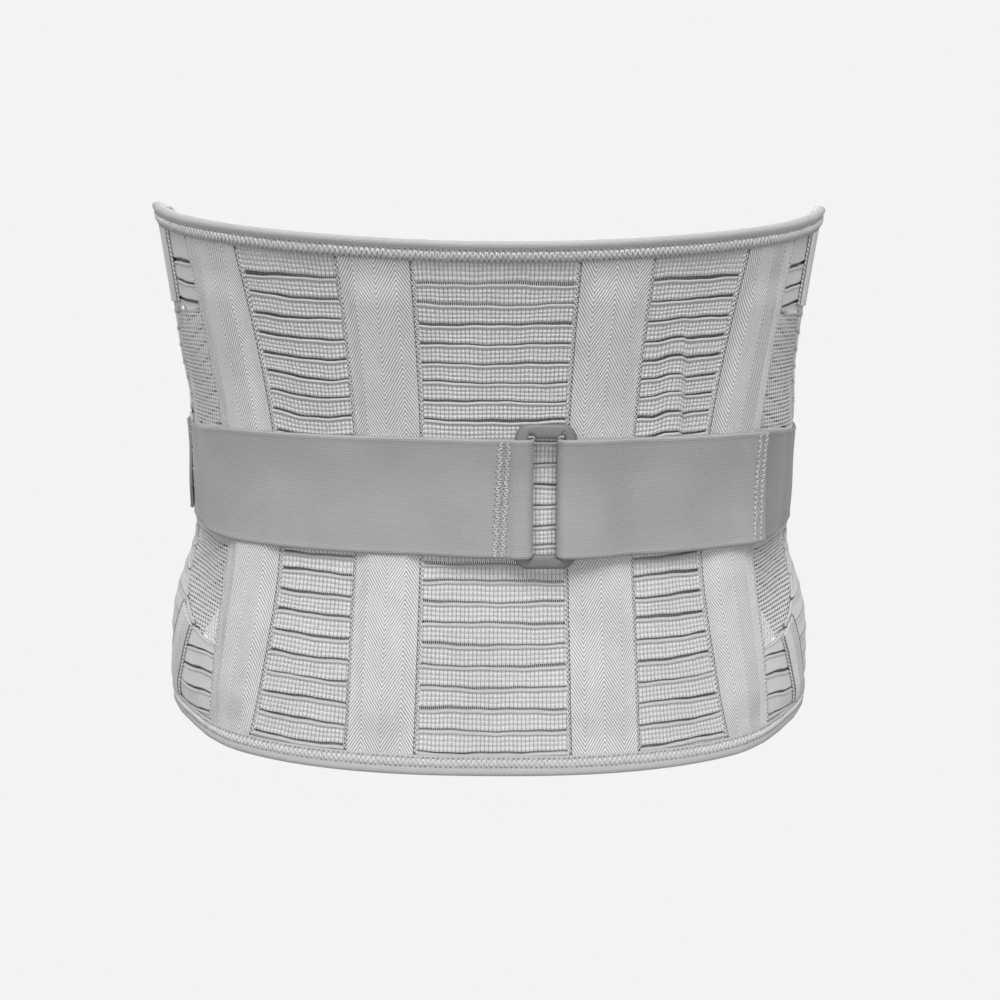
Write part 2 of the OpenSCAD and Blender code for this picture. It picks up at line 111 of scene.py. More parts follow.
def torso(s, z):
    share = np.abs(s) / half_girth(z)
    turn = np.interp(np.minimum(share, 2 - share) * run[-1], run, turns)
    side = np.sign(s) * np.where(share > 1, -1, 1)
    back, front = back_reach(z), front_reach(z)
    return np.stack([side * half_width(z) * root_of(np.sin(turn)),
                     (front - back) / 2 + CENTRE_SHIFT - (back + front) / 2 * root_of(np.cos(turn)),
                     z + 0 * s], -1)


TUCK_LEFT, TUCK_RIGHT, MESH_TUCK, HEM_TUCK = 2.6, 2.9, 5.2, 2.6


def tuck(s, z):
    """How far the worn fabric is drawn in at the sides."""
    a = np.abs(s)
    right = TUCK_RIGHT * (1 - 1.1 * np.exp(-((z - 120) / 38) ** 4))
    left = TUCK_LEFT * (1 - 0.85 * smooth((z - 140) / 40))
    depth = (np.where(s < 0, left, right) + MESH_TUCK * np.exp(-((z - 80) / 24) ** 2)
             + HEM_TUCK * smooth((18 - z) / 18))
    return depth * smooth((a - 112) / 50) * smooth((255 - a) / 50)


def wrap(s, z, o):
    """Points of the chart at the offset o outside the fabric's inner face."""
    s, z, o = np.broadcast_arrays(np.asarray(s, float), np.asarray(z, float), np.asarray(o, float))
    o = o - tuck(s, z)
    d = torso(s + 0.5, z) - torso(s - 0.5, z)
    size = np.maximum(np.hypot(d[..., 0], d[..., 1]), 1e-6)
    normal = np.stack([d[..., 1] / size, -d[..., 0] / size, 0 * size], -1)
    return torso(s, z) + o[..., None] * normal


SHIFT_NEAR, SHIFT_SIDE = 1.9, 0.4


def panels(s, z, o):
    """The chart of the sewn panels, which sit a little to the right on the body."""
    s = np.asarray(s, float)
    drift = SHIFT_SIDE + (SHIFT_NEAR - SHIFT_SIDE) * (1 - smooth((np.abs(s) - 55) / 50))
    return wrap(s + drift * smooth((190 - np.abs(s)) / 40), z, o)


def wrap_front(d, z, o):
    """The same for a wing's chart, where d is counted from the middle of the front."""
    return wrap(half_girth(z) + d, z, o)


# ---- Outlines in the chart ----
def top_edge(s):
    c = smooth((np.abs(s) - TOP_FALL[0]) / (TOP_FALL[1] - TOP_FALL[0]))
    return (BACK_HEIGHT + SIDE_RISE * (s / SIDE_REACH) ** 2) * (1 - c) + FRONT_HIGH * c


def hem_edge(s):
    return FRONT_LOW * smooth((np.abs(s) - HEM_RISE[0]) / (HEM_RISE[1] - HEM_RISE[0]))


def hinge_line(z):
    return HINGE_SHARE * half_girth(z)


NARROWEST = 95.0


def lean(z, power_up, power_down, up, down):
    """How an outer channel's edge moves out above and below its narrowest level."""
    high = np.maximum(0, (z - NARROWEST) / (BACK_HEIGHT - NARROWEST))
    low = np.maximum(0, (NARROWEST - z) / NARROWEST)
    return up * high ** power_up + down * low ** power_down


def inner_near(z):
    return 29.3 + 3.3 * below(z) ** 2 + 4 * above(z) ** 1.7


def inner_far(z):
    return 59.6 + 5.8 * below(z) ** 2 + 7 * above(z) ** 1.6


def outer_near(z):
    return 91.5 + lean(z, 1.75, 1.8, 18.3, 19)


def outer_far(z):
    return 124 + lean(z, 1.5, 1.4, 20.5, 15)


def window_top(s):
    c = smooth((s - 165) / 38)
    return 194 * (1 - c) + 117.5 * c


def window_bottom(s):
    return np.minimum(115.5, 42 + 0.011 * np.maximum(0, s - 132) ** 2 + 30 * smooth((s - 172) / 31))


# ---- Meshes ----
class Mesh:
    """Gathers closed shapes. Each face keeps a material number and each corner its chart place."""

    def __init__(self):
        self.points, self.charts, self.faces, self.kinds = [], [], [], []
        self.size = 0

    def add(self, points, chart, faces, kind=0):
        points = np.asarray(points, float).reshape(-1, 3)
        self.points.append(points)
        self.charts.append(np.asarray(chart, float).reshape(-1, 2))
        for f in faces:
            f = np.asarray(f, int)
            self.faces.append(f + self.size)
            columns = np.atleast_1d(kind)
            self.kinds.append(np.resize(columns, len(f)) if len(f) > 2 else np.zeros(len(f), int))
        self.size += len(points)

    def sweep(self, rings, chart, kind=0, loop=False):
        """Closed rings of points, (rings, points, 3), joined one to the next."""
        n, m = rings.shape[:2]
        j = np.arange(n if loop else n - 1)[:, None]
        k = np.arange(m)[None, :]
        a, b = j * m + k, j * m + (k + 1) % m
        c, d = (j + 1) % n * m + (k + 1) % m, (j + 1) % n * m + k
        quads = np.stack([a, b, c, d], -1).reshape(-1, 4)
        faces = [quads]
        if not loop:
            faces += [np.arange(m)[::-1][None, :], (np.arange(m) + (n - 1) * m)[None, :]]
        self.add(rings, chart, faces, kind)

    def place(self, name, materials, node_slot=None):
        points = np.concatenate(self.points) * MM
        charts = np.concatenate(self.charts)
        loops = np.concatenate([f.ravel() for f in self.faces])
        sizes = np.concatenate([np.full(len(f), f.shape[1]) for f in self.faces])
        kinds = np.concatenate(self.kinds)
        data = bpy.data.meshes.new(name)
        data.vertices.add(len(points))
        data.vertices.foreach_set("co", points.ravel())
        data.loops.add(len(loops))
        data.loops.foreach_set("vertex_index", loops)
        data.polygons.add(len(sizes))
        data.polygons.foreach_set("loop_start", np.concatenate([[0], np.cumsum(sizes)[:-1]]))
        data.polygons.foreach_set("material_index", kinds)
        data.polygons.foreach_set("use_smooth", np.ones(len(sizes), bool))
        uv = data.uv_layers.new(name="chart")
        uv.data.foreach_set("uv", charts[loops].ravel())
        data.update(calc_edges=True)
        data.validate()
        obj = bpy.data.objects.new(name, data)
        bpy.context.scene.collection.objects.link(obj)
        for m in materials:
            data.materials.append(m)
        return obj


def stand_in(piece, node, body="back"):
    """Shows a piece in a CAD node's place, on the body that carries it."""
    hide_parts(node)
    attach(piece, body)


def run_length(path):
    """Length along a path up to each of its points."""
    return np.concatenate([[0], np.cumsum(np.linalg.norm(np.diff(path, axis=0), axis=1))])


def heading(path):
    """Unit vectors along a path of points."""
    way = np.gradient(path, axis=0)
    return way / np.maximum(np.linalg.norm(way, axis=1, keepdims=True), 1e-9)


def laid(lay, flip, a, z, o):
    """Points of a chart's right-hand place, or of its mirror image where flip is -1."""
    return lay(flip * a, z, o) if lay in (panels, wrap) else lay(a, z, o) * [flip, 1, 1]


def grid(a, b):
    """Pairs of values, spread over the shape that both share."""
    return np.stack(np.broadcast_arrays(a, b), -1)


def swing_at(value, pitch):
    """A triangle wave from -1 to 1."""
    return np.abs(np.mod(value / pitch, 1) * 2 - 1) * 2 - 1


# ---- Materials ----
class Nodes:
    """Short hand for a material's node tree."""

    def __init__(self, name, roughness, sheen=0.0, specular=0.35):
        self.material = bpy.data.materials.new(name)
        self.material.use_nodes = True
        self.tree = self.material.node_tree
        self.shader = self.tree.nodes["Principled BSDF"]
        self.shader.inputs["Roughness"].default_value = roughness
        self.shader.inputs["Specular IOR Level"].default_value = specular
        self.shader.inputs["Sheen Weight"].default_value = sheen
        self.shader.inputs["Sheen Roughness"].default_value = 0.6
        chart = self.tree.nodes.new("ShaderNodeUVMap")
        chart.uv_map = "chart"
        split = self.tree.nodes.new("ShaderNodeSeparateXYZ")
        self.tree.links.new(chart.outputs[0], split.inputs[0])
        self.s, self.z = split.outputs[0], split.outputs[1]
        self.place = self.tree.nodes.new("ShaderNodeTexCoord").outputs["Object"]

    def math(self, operation, a, b=None, c=None, clamp=False):
        node = self.tree.nodes.new("ShaderNodeMath")
        node.operation = operation
        node.use_clamp = clamp
        for i, v in enumerate(x for x in (a, b, c) if x is not None):
            if isinstance(v, (int, float)):
                node.inputs[i].default_value = v
            else:
                self.tree.links.new(v, node.inputs[i])
        return node.outputs[0]

    def line(self, value, factor, add, clamp=False):
        return self.math("MULTIPLY_ADD", value, factor, add, clamp)

    def speckle(self, tone, noise, depth, clamp=False):
        """The tone made lighter and darker along a noise."""
        return self.math("ADD", tone, self.line(noise, depth, -depth / 2), clamp=clamp)

    def noise(self, scale, detail=3.0, roughness=0.6):
        """Noise of the given scale per metre."""
        node = self.tree.nodes.new("ShaderNodeTexNoise")
        node.inputs["Scale"].default_value = scale
        node.inputs["Detail"].default_value = detail
        node.inputs["Roughness"].default_value = roughness
        self.tree.links.new(self.place, node.inputs["Vector"])
        return node.outputs["Fac"]

    def wave(self, value, pitch):
        """A sine of value with the pitch, from 0 to 1."""
        turn = self.math("MULTIPLY", value, 2 * math.pi / pitch)
        return self.line(self.math("SINE", turn), 0.5, 0.5)

    def ramp(self, value, dark, light, low=0.0, high=1.0):
        node = self.tree.nodes.new("ShaderNodeValToRGB")
        node.color_ramp.elements[0].position = low
        node.color_ramp.elements[1].position = high
        node.color_ramp.elements[0].color = (dark, dark, dark * 1.01, 1)
        node.color_ramp.elements[1].color = (light, light, light * 1.01, 1)
        self.tree.links.new(value, node.inputs[0])
        return node.outputs[0]

    def finish(self, value, dark, light, height, depth, rough=None):
        """Colour from dark to light along value, and bump of the depth, in metres, along height."""
        self.tree.links.new(self.ramp(value, dark, light), self.shader.inputs["Base Color"])
        bump = self.tree.nodes.new("ShaderNodeBump")
        bump.inputs["Strength"].default_value = 1.0
        bump.inputs["Distance"].default_value = depth
        self.tree.links.new(height, bump.inputs["Height"])
        self.tree.links.new(bump.outputs[0], self.shader.inputs["Normal"])
        if rough is not None:
            self.tree.links.new(rough, self.shader.inputs["Roughness"])
        return self.material


RIB, ROW = 1.75, 1.9
TWILL_ACROSS, TWILL_UP, CHEVRON = 1.15, 1.95, 8.0


def knit_material(name, dark, light, depth=0.55):
    """Slatted elastic knit: vertical ribs and fine courses between them. The colour is darkened by depth in
    the rib grooves and in the dips between the rows, as painted shade; the rolled lips use a copy with little
    of it.
    """
    n = Nodes(name, 0.86, sheen=0.25, specular=0.2)
    # painted shade: the colour darkens in each rib groove and in the dips between the rows
    rib = n.math("PINGPONG", n.s, RIB / 2)
    groove_shade = n.math("SUBTRACT", 1, n.math("MULTIPLY", rib, 2.6, clamp=True))
    row = n.math("SUBTRACT", 1, n.math("MULTIPLY", n.math("PINGPONG", n.z, 0.5), 4.5, clamp=True))
    groove_shade = n.math("MAXIMUM", groove_shade, n.math("MULTIPLY", row, 0.45))
    course = n.wave(n.z, 0.33)
    fibre = n.noise(1500, 4)
    cloud = n.noise(45, 2)
    tone = n.line(groove_shade, -depth, 0.78)
    tone = n.line(course, 0.08, tone)
    tone = n.speckle(tone, fibre, 0.22)
    tone = n.speckle(tone, cloud, 0.2, clamp=True)
    height = n.line(course, 0.5, n.math("MULTIPLY", fibre, 0.6))
    rough = n.line(fibre, 0.16, 0.78)
    return n.finish(tone, dark, light, height, 0.00012, rough)


def herring_material(name, dark, light, chevron=CHEVRON, shift=0.0):
    """Herringbone webbing: the twill lines turn at each chevron's edge."""
    n = Nodes(name, 0.74, sheen=0.2, specular=0.3)
    zig = n.math("PINGPONG", n.math("ADD", n.s, shift), chevron)
    phase = n.line(n.z, TWILL_ACROSS / TWILL_UP, zig)
    line = n.wave(phase, TWILL_ACROSS)
    yarn = n.wave(n.math("SUBTRACT", n.z, n.math("MULTIPLY", zig, 0.6)), 0.5)
    fibre = n.noise(1800, 4)
    cloud = n.noise(40, 2)
    tone = n.line(line, 0.62, 0.16)
    tone = n.line(yarn, 0.14, tone)
    tone = n.speckle(tone, fibre, 0.5)
    tone = n.speckle(tone, cloud, 0.2, clamp=True)
    height = n.line(line, 0.5, n.line(yarn, 0.3, fibre))
    rough = n.line(line, -0.12, 0.8)
    return n.finish(tone, dark, light, height, 0.0001, rough)


def elastic_material(name, dark, light, across=0.62, up=0.9):
    """Smooth woven elastic: fine lengthwise ribs with a shallow twill across them."""
    n = Nodes(name, 0.7, sheen=0.18, specular=0.3)
    lengthwise = n.wave(n.z, up)
    twill = n.wave(n.line(n.z, 0.55, n.s), across)
    fibre = n.noise(2200, 3)
    cloud = n.noise(30, 2)
    tone = n.line(lengthwise, 0.2, 0.3)
    tone = n.line(twill, 0.24, tone)
    tone = n.speckle(tone, fibre, 0.4)
    tone = n.speckle(tone, cloud, 0.24, clamp=True)
    height = n.line(twill, 0.5, n.line(lengthwise, 0.5, fibre))
    rough = n.line(fibre, 0.2, 0.6)
    return n.finish(tone, dark, light, height, 0.00008, rough)


def pile_material(name, dark, light, scale=900):
    """Brushed or looped pile."""
    n = Nodes(name, 0.95, sheen=0.6, specular=0.1)
    fuzz = n.noise(scale, 6, 0.7)
    cloud = n.noise(60, 3)
    tone = n.line(fuzz, 0.8, n.line(cloud, 0.5, -0.2), clamp=True)
    return n.finish(tone, dark, light, fuzz, 0.0006)


def thread_material(name, dark, light):
    """Twisted sewing thread."""
    n = Nodes(name, 0.55, sheen=0.2, specular=0.5)
    twist = n.wave(n.math("ADD", n.s, n.z), 0.35)
    tone = n.line(twist, 0.5, n.math("MULTIPLY", n.noise(900), 0.5), clamp=True)
    return n.finish(tone, dark, light, twist, 0.00006)


def plastic_material(name, dark, light):
    """Satin moulded plastic with a fine grain and slight wear."""
    n = Nodes(name, 0.42, specular=0.5)
    grain = n.noise(3500, 2)
    wear = n.noise(140, 4)
    tone = n.line(wear, 0.6, 0.2, clamp=True)
    rough = n.line(wear, 0.25, 0.3)
    return n.finish(tone, dark, light, grain, 0.00003, rough)


KNIT = knit_material("knit", 0.14, 0.72)
# The rolled lips use a copy of the knit in a tone of their own, set for how the light falls on them: painted
# light.
LIP = knit_material("knit_lip_painted_light", 0.12, 0.52, 0.08)
SMOOTH_KNIT = knit_material("knit_smooth", 0.14, 0.68, 0.12)
HERRING = herring_material("herringbone_webbing", 0.1, 0.84)
LINING = herring_material("lining_webbing", 0.3, 0.55)
MESH = elastic_material("mesh_yarn", 0.42, 0.84, 0.5, 0.5)
STRIP = elastic_material("waist_strip_knit", 0.36, 0.6, 0.5, 0.7)
BINDING = elastic_material("fold_over_elastic", 0.28, 0.5, 0.45, 0.5)
STRAP = elastic_material("strap_elastic", 0.1, 0.47)
PULL = herring_material("pull_webbing", 0.05, 0.34, 19.0)
THREAD = thread_material("thread", 0.45, 0.74)
# The ladder yarns are real, but they are coloured near black as painted shade in the slits.
LADDER_SHADE = thread_material("ladder_yarn_slit_shade", 0.04, 0.12)
# Dark painted shade in the seam grooves along the webbing's edges.
SHADE = herring_material("webbing_seam_shade", 0.04, 0.25)
# Dark painted shade where needle holes would be; the holes themselves are not modelled.
NEEDLE_SHADE = thread_material("needle_hole_shade", 0.1, 0.22)
SEAM_THREAD = thread_material("strap_seam_thread", 0.3, 0.6)
# Near black on the netting's hole walls and back faces: painted shade.
WALL_SHADE = thread_material("mesh_hole_wall_shade", 0.02, 0.05)
PLASTIC = plastic_material("buckle_plastic", 0.11, 0.17)
STAY = plastic_material("stay_plastic", 0.55, 0.65)
LOOP = pile_material("loop_pile", 0.26, 0.46)
HOOK = pile_material("hook_pile", 0.05, 0.12, 1600)

# ---- Slatted knit ----
BAND_COUNT = 24
slit_base = np.interp(np.arange(BAND_COUNT), [0, 7, 12, 15, 23], [204, 148.5, 103, 80, 9])
slit_phase = rng.uniform(0, 2 * math.pi, (BAND_COUNT, 3))
slit_size = rng.uniform(0.75, 1.25, BAND_COUNT)


def slit(k, s):
    """Height of a slit's middle line."""
    z = slit_base[k]
    a = np.abs(s)
    rise = 0.00012 + 0.0003 * max(0.0, z - 30) / 180
    near_waist = math.exp(-((z - 152) / 30) ** 2)
    crease = np.where(s > 0, 2.0 * smooth((a - 67) / 8) * smooth((83 - a) / 4),
                      -1.5 * smooth((a - 58) / 14) * smooth((96 - a) / 14))
    wave = (0.3 * np.sin(s * 0.085 + slit_phase[k, 0]) + 0.18 * np.sin(s * 0.2 + slit_phase[k, 1])
            + 0.1 * np.sin(s * 0.5 + slit_phase[k, 2]))
    droop = -4.5 * smooth((a - 134) / 30) * below(z)
    return z + rise * a * a + near_waist * crease + wave + droop


def slit_width(k, s):
    """Open height of a slit, which closes here and there."""
    ease = 0.5 + 0.5 * np.sin(s * 0.07 + slit_phase[k, 2] * 2) * np.sin(s * 0.031 + slit_phase[k, 0])
    return slit_size[k] * (0.45 + 0.75 * ease)


def band_profile(height):
    """Heights, offsets, shares of the rib relief and row numbers round a band's section."""
    rows = max(2, int(round((height - 2.2) / ROW)))
    pitch = (height - 2.2) / rows
    zs, os_, deep, row = [0.0, 0.22], [0.75, 1.35], [0, 0.5], [0.5, 0.5]
    for r in range(rows):
        top = 0.35 + (r + 1) * pitch
        zs += [top - pitch * 0.78, top - pitch * 0.22, top]
        os_ += [1.62, 1.62, 1.28]
        deep += [1, 1, 1]
        row += [r + 0.22, r + 0.78, r + 1.0]
    zs += [height - 1.4, height - 1.0, height - 0.35, height]
    os_ += [1.4, 1.85, 1.8, 1.15]
    deep += [0.6, 0.05, 0.0, 0]
    zs += [height, height * 0.66, height * 0.33, 0.0]
    os_ += [0.35, 0.0, 0.0, 0.3]
    deep += [0, 0, 0, 0]
    row += [rows + 0.5] * 8
    return np.array(zs), np.array(os_), np.array(deep), np.array(row)


def rib_places(lo, hi, coarse):
    """Places across the ribs, and how deep the groove is at each."""
    first, last = math.floor(lo / RIB), math.ceil(hi / RIB)
    base = np.arange(first, last + 1) * RIB
    if coarse:
        places = (base[:, None] + np.array([0, 0.5]) * RIB).ravel()
        deep = np.tile([1.0, 0], len(base))
    else:
        places = (base[:, None] + np.array([0, 0.16, 0.5, 0.84]) * RIB).ravel()
        deep = np.tile([1.0, 0, 0, 0], len(base))
    keep = (places > lo + 0.1) & (places < hi - 0.1)
    return (np.concatenate([[lo], places[keep], [hi]]),
            np.concatenate([[0], deep[keep], [0]]))


RIB_RELIEF = 0.5


def fold_rise(s, z):
    """The upright crease that the strap presses into the back panels."""
    near = np.exp(-((z - 150) / 34) ** 2)
    return near * (1.3 * np.exp(-((s - 78) / 4.5) ** 2) - 0.8 * np.exp(-((s - 86) / 4) ** 2)
                   + 0.9 * np.exp(-((s + 66) / 5) ** 2))


def knit(mesh, left, right, low, high, lay=panels, to_s=lambda a, z: a, flip=1.0, coarse=False,
         plain=False):
    """Adds the bands of a knit panel and the threads across its slits. The edges are those of the
    right-hand piece, and flip -1 lays its mirror image."""
    for k in range(-1, BAND_COUNT):
        mid = BACK_HEIGHT if k < 0 else slit_base[k]
        under = slit_base[min(k + 1, BAND_COUNT - 1)] if k + 1 < BAND_COUNT else 0.0
        level = (mid + under) / 2
        a0, a1 = float(left(level)), float(right(level))
        places, deep = rib_places(a0, a1, coarse)
        s = flip * to_s(places, level)
        top = high(places)
        if k >= 0:
            top = np.minimum(top, slit(k, s) - slit_width(k, s) / 2)
        bottom = low(places)
        if k + 1 < BAND_COUNT:
            bottom = np.maximum(bottom, slit(k + 1, s) + slit_width(k + 1, s) / 2)
        open_ = top - bottom > 1.0
        if open_.sum() < 4:
            continue
        starts = np.flatnonzero(open_ & ~np.concatenate([[False], open_[:-1]]))
        ends = np.flatnonzero(open_ & ~np.concatenate([open_[1:], [False]]))
        for i, j in zip(starts, ends):
            if j - i < 4:
                continue
            pick = slice(i, j + 1)
            p, dp, t, b = places[pick], deep[pick], top[pick], bottom[pick]
            height = float(np.median(t - b))
            zs, os_, relief, row = band_profile(height)
            if plain:
                os_, relief, row = np.where((os_ > 1.2) & (os_ < 1.8), 1.5, os_), relief * 0.3, row * 0 + 0.5
            share = zs / height
            z = b[:, None] + (t - b)[:, None] * share[None, :]
            u = (p - a0) / (a1 - a0)
            ls, rs = left(z), right(z)
            a = ls + (rs - ls) * u[:, None]
            thin = np.minimum(1, (t - b) / 4)[:, None]
            o = os_[None, :] * (0.4 + 0.6 * thin) - RIB_RELIEF * dp[:, None] * relief[None, :] * thin
            o = o + fold_rise(flip * a if lay is panels else 0 * a, z)
            rings = laid(lay, flip, a, z, o)
            chart = grid(p[:, None], np.broadcast_to(row, z.shape))
            count = len(zs)
            # the lip faces take the lip copy of the knit, toned as painted light
            lip = np.zeros(count, int)
            lip[count - 8:count - 4] = 2
            if flip > 0:
                rings, chart, lip = rings[:, ::-1], chart[:, ::-1], np.roll(lip[::-1], -1)
            mesh.sweep(rings, chart, lip)
        if k + 1 < BAND_COUNT:
            ladder(mesh, k + 1, a0, a1, low, high, lay, to_s, flip, coarse)


def ladder(mesh, k, a0, a1, low, high, lay, to_s, flip, coarse):
    """Adds the yarns that cross slit k. They are coloured near black, as painted shade in the slit."""
    pitch = RIB if coarse else RIB / 2
    at = np.arange(math.ceil(a0 / pitch) - 2, math.floor(a1 / pitch) + 3) * pitch
    s = flip * to_s(at, slit_base[k])
    z, w = slit(k, s), slit_width(k, s)
    keep = (z + w < high(at)) & (z - w > low(at)) & (w > 0.2)
    at, z, w = at[keep], z[keep], w[keep]
    if not len(at):
        return
    half = pitch * 0.4
    corners = np.array([[-half, 0.1], [half, 0.1], [half, 0.35], [-half, 0.35]])
    ends = []
    for sign in (-1, 1):
        zz = (z + sign * (w / 2 + 0.45))[:, None] + np.zeros(4)
        a = at[:, None] + corners[None, :, 0]
        o = np.broadcast_to(corners[None, :, 1], a.shape)
        ends.append(laid(lay, flip, a, zz, o))
    points = np.stack(ends, 1)
    count = len(at)
    base = np.arange(count)[:, None, None] * 8
    sides = np.array([[k_, (k_ + 1) % 4, (k_ + 1) % 4 + 4, k_ + 4] for k_ in range(4)]
                     + [[3, 2, 1, 0], [4, 5, 6, 7]])
    if flip > 0:
        sides = sides[:, ::-1]
    chart = grid(at[:, None, None], np.broadcast_to(z[:, None, None], (count, 2, 4)))
    mesh.add(points, chart, [(base + sides[None]).reshape(-1, 4)], 1)


def straight(value):
    return lambda x: value + 0 * np.asarray(x, float)


UNDER = 0.7
EDGE = 1.6


def back_top(s):
    return top_edge(s) - EDGE


def back_low(s):
    return hem_edge(s) + EDGE


def cloth(piece, left, right, low, high):
    """The piece is cloth cut flat to its outline in the chart; this finds the chart's places inside that
    outline and does nothing with them.
    """
    a, z = np.meshgrid(np.arange(-330.0, 331.0), np.arange(0.0, 240.0))
    inside = (a >= left(z)) & (a <= right(z)) & (z >= low(a)) & (z <= high(a))


def knit_panel(name, node, cut, flip=1.0, plain=False):
    mesh = Mesh()
    knit(mesh, *cut, flip=flip, plain=plain)
    piece = mesh.place(name, [SMOOTH_KNIT if plain else KNIT, LADDER_SHADE, LIP], "knit")
    cloth(piece, *cut)
    stand_in(piece, node)


knit_panel("knit_centre", "centre_panel",
           (lambda z: -inner_near(z) - UNDER, lambda z: inner_near(z) + UNDER, back_low, back_top))

SIDES = (("right", 1.0), ("left", -1.0))
SPLIT = 16.0


def split_line(z):
    return hinge_line(z) - SPLIT


for side, flip in SIDES:
    knit_panel(f"knit_back_{side}", f"back_panel_{side}",
               (lambda z: inner_far(z) - UNDER, lambda z: outer_near(z) + UNDER, back_low, back_top), flip)
    for where, low, high in (("upper", window_top, back_top), ("lower", back_low, window_bottom)):
        knit_panel(f"knit_side_{where}_{side}", f"side_panel_{where}_{side}",
                   (lambda z: outer_far(z) - UNDER, split_line, low, high), flip, plain=True)


# ---- Herringbone webbing ----
def zigzag(value, width):
    """A triangle wave that turns at every width."""
    return np.abs(np.mod(value + width, 2 * width) - width)


def webbing(mesh, near, far, low, high, inner, lift, flip, thickness=1.0, chevron=CHEVRON,
            fine=0.29, upward=0.45, rib_width=2.2, relief=0.16):
    """Adds a strip of herringbone webbing between two edges. lift(share, z) raises it."""
    level_low, level_high = float(low((near(0) + far(0)) / 2)), float(high((near(200) + far(200)) / 2))
    z_rows = np.linspace(0, 1, int((level_high - level_low) / upward))
    mid = (level_low + level_high) / 2
    width = float(far(mid) - near(mid))
    cols = int(width / fine)
    u = np.linspace(0, 1, cols)
    edge = np.minimum(u, 1 - u) * width
    z = np.broadcast_to(level_low + (level_high - level_low) * z_rows[:, None], (len(z_rows), cols))
    for _ in range(3):
        a = near(z) + (far(z) - near(z)) * u[None, :]
        z = low(a) + (high(a) - low(a)) * z_rows[:, None]
    across = u * width
    zig = zigzag(across - width / 2, chevron)
    phase = flip * z / TWILL_UP + zig[None, :] / TWILL_ACROSS
    apex = np.minimum(zig, chevron - zig)
    body = smooth((edge - rib_width + 0.6) / 0.8)[None, :]
    o = (inner + thickness + lift(u[None, :], z)
         + relief * (np.sin(2 * math.pi * phase) + 0.7 * np.exp(-(apex / 0.45) ** 2)[None, :]) * body)
    if rib_width:
        o = o + (relief * np.sin(2 * math.pi * across / 0.8) * (edge < rib_width))[None, :]
        o = o - SEAM_GROOVE * np.exp(-((edge - SEAM_INSET) / 0.5) ** 2)[None, :]
    o = o - 0.6 * (1 - smooth((edge + 0.25) / 0.7))[None, :]
    back_u = np.array([1.0, 0.75, 0.5, 0.25, 0.0])
    back_z = z[:, [cols - 1, int(cols * 0.75), cols // 2, int(cols * 0.25), 0]]
    back_a = near(back_z) + (far(back_z) - near(back_z)) * back_u[None, :]
    back_o = inner + lift(back_u[None, :], back_z)
    all_a = np.concatenate([a, back_a], 1)
    all_z = np.concatenate([z, back_z], 1)
    all_o = np.concatenate([o, back_o], 1)
    chart = np.stack([np.concatenate([np.broadcast_to(across - width / 2, a.shape),
                                      np.broadcast_to((back_u - 0.5) * width, back_a.shape)], 1),
                      flip * all_z], -1)
    rings = panels(flip * all_a, all_z, all_o)
    # the faces of the seam groove near each edge take the dark painted shade
    seam_shade = np.zeros(cols + 5, int)
    seam_shade[:cols] = (edge > 0.5) & (edge < 1.5) & (rib_width > 0)
    if flip < 0:
        rings, chart, seam_shade = rings[:, ::-1], chart[:, ::-1], np.roll(seam_shade[::-1], -1)
    mesh.sweep(rings, chart, seam_shade * 2)


SEAM_GROOVE, SEAM_INSET = 0.45, 1.0
STAY_WIDTH, STAY_STEP, STAY_END = 16.0, 1.7, 24.0


def no_rise(u, z):
    return 0 * u * z


def stay_lift(width):
    def lift(u, z):
        away = np.abs(u - 0.5) * width
        return (STAY_STEP * smooth((STAY_WIDTH / 2 + 4.5 - away) / 6)
                * smooth((z - STAY_END + 12) / 14)
                * smooth((BACK_HEIGHT - STAY_END + 14 - z) / 15))
    return lift


THREAD_SIDES = 5


def tube(path, radius):
    """Rings of a thread's section along a path of points."""
    way = heading(path)
    flat = path.copy()
    flat[:, 2] = 0
    out = flat / np.maximum(np.linalg.norm(flat, axis=1, keepdims=True), 1e-9)
    a = np.cross(way, out)
    a /= np.maximum(np.linalg.norm(a, axis=1, keepdims=True), 1e-9)
    b = np.cross(a, way)
    turn = np.arange(THREAD_SIDES) * 2 * math.pi / THREAD_SIDES
    return path[:, None, :] + radius * (a[:, None, :] * np.cos(turn)[None, :, None]
                                        + b[:, None, :] * np.sin(turn)[None, :, None])


def stitches(mesh, path, radius, kind):
    """A thread along a path, in the material of the number kind."""
    rings = tube(path, radius)
    chart = np.stack([np.arange(1, len(path) + 1) * 0.4, np.zeros(len(path))], -1)
    mesh.sweep(rings, np.broadcast_to(chart[:, None, :], rings.shape[:2] + (2,)), kind)


EDGE_PITCH, EDGE_SWING, EDGE_THREAD, STITCH_MARGIN = 2.0, 0.6, 0.27, 9


def edge_stitch(mesh, edge, inset, flip, offset=2.2):
    """A narrow zigzag stitch up a channel, an inset away from its edge."""
    high = float(top_edge(edge(200.0))) - STITCH_MARGIN
    z = np.linspace(STITCH_MARGIN, high, int((high - STITCH_MARGIN) / (EDGE_PITCH / 4)))
    swing = swing_at(z, EDGE_PITCH)
    jitter = 0.12 * np.sin(z * 1.7 + (edge(50.0) + inset))
    o = offset - 0.15 - 0.3 * (np.abs(swing) > 0.8)
    stitches(mesh, panels(flip * (edge(z) + inset + EDGE_SWING * swing + jitter), z, o), EDGE_THREAD, 1)


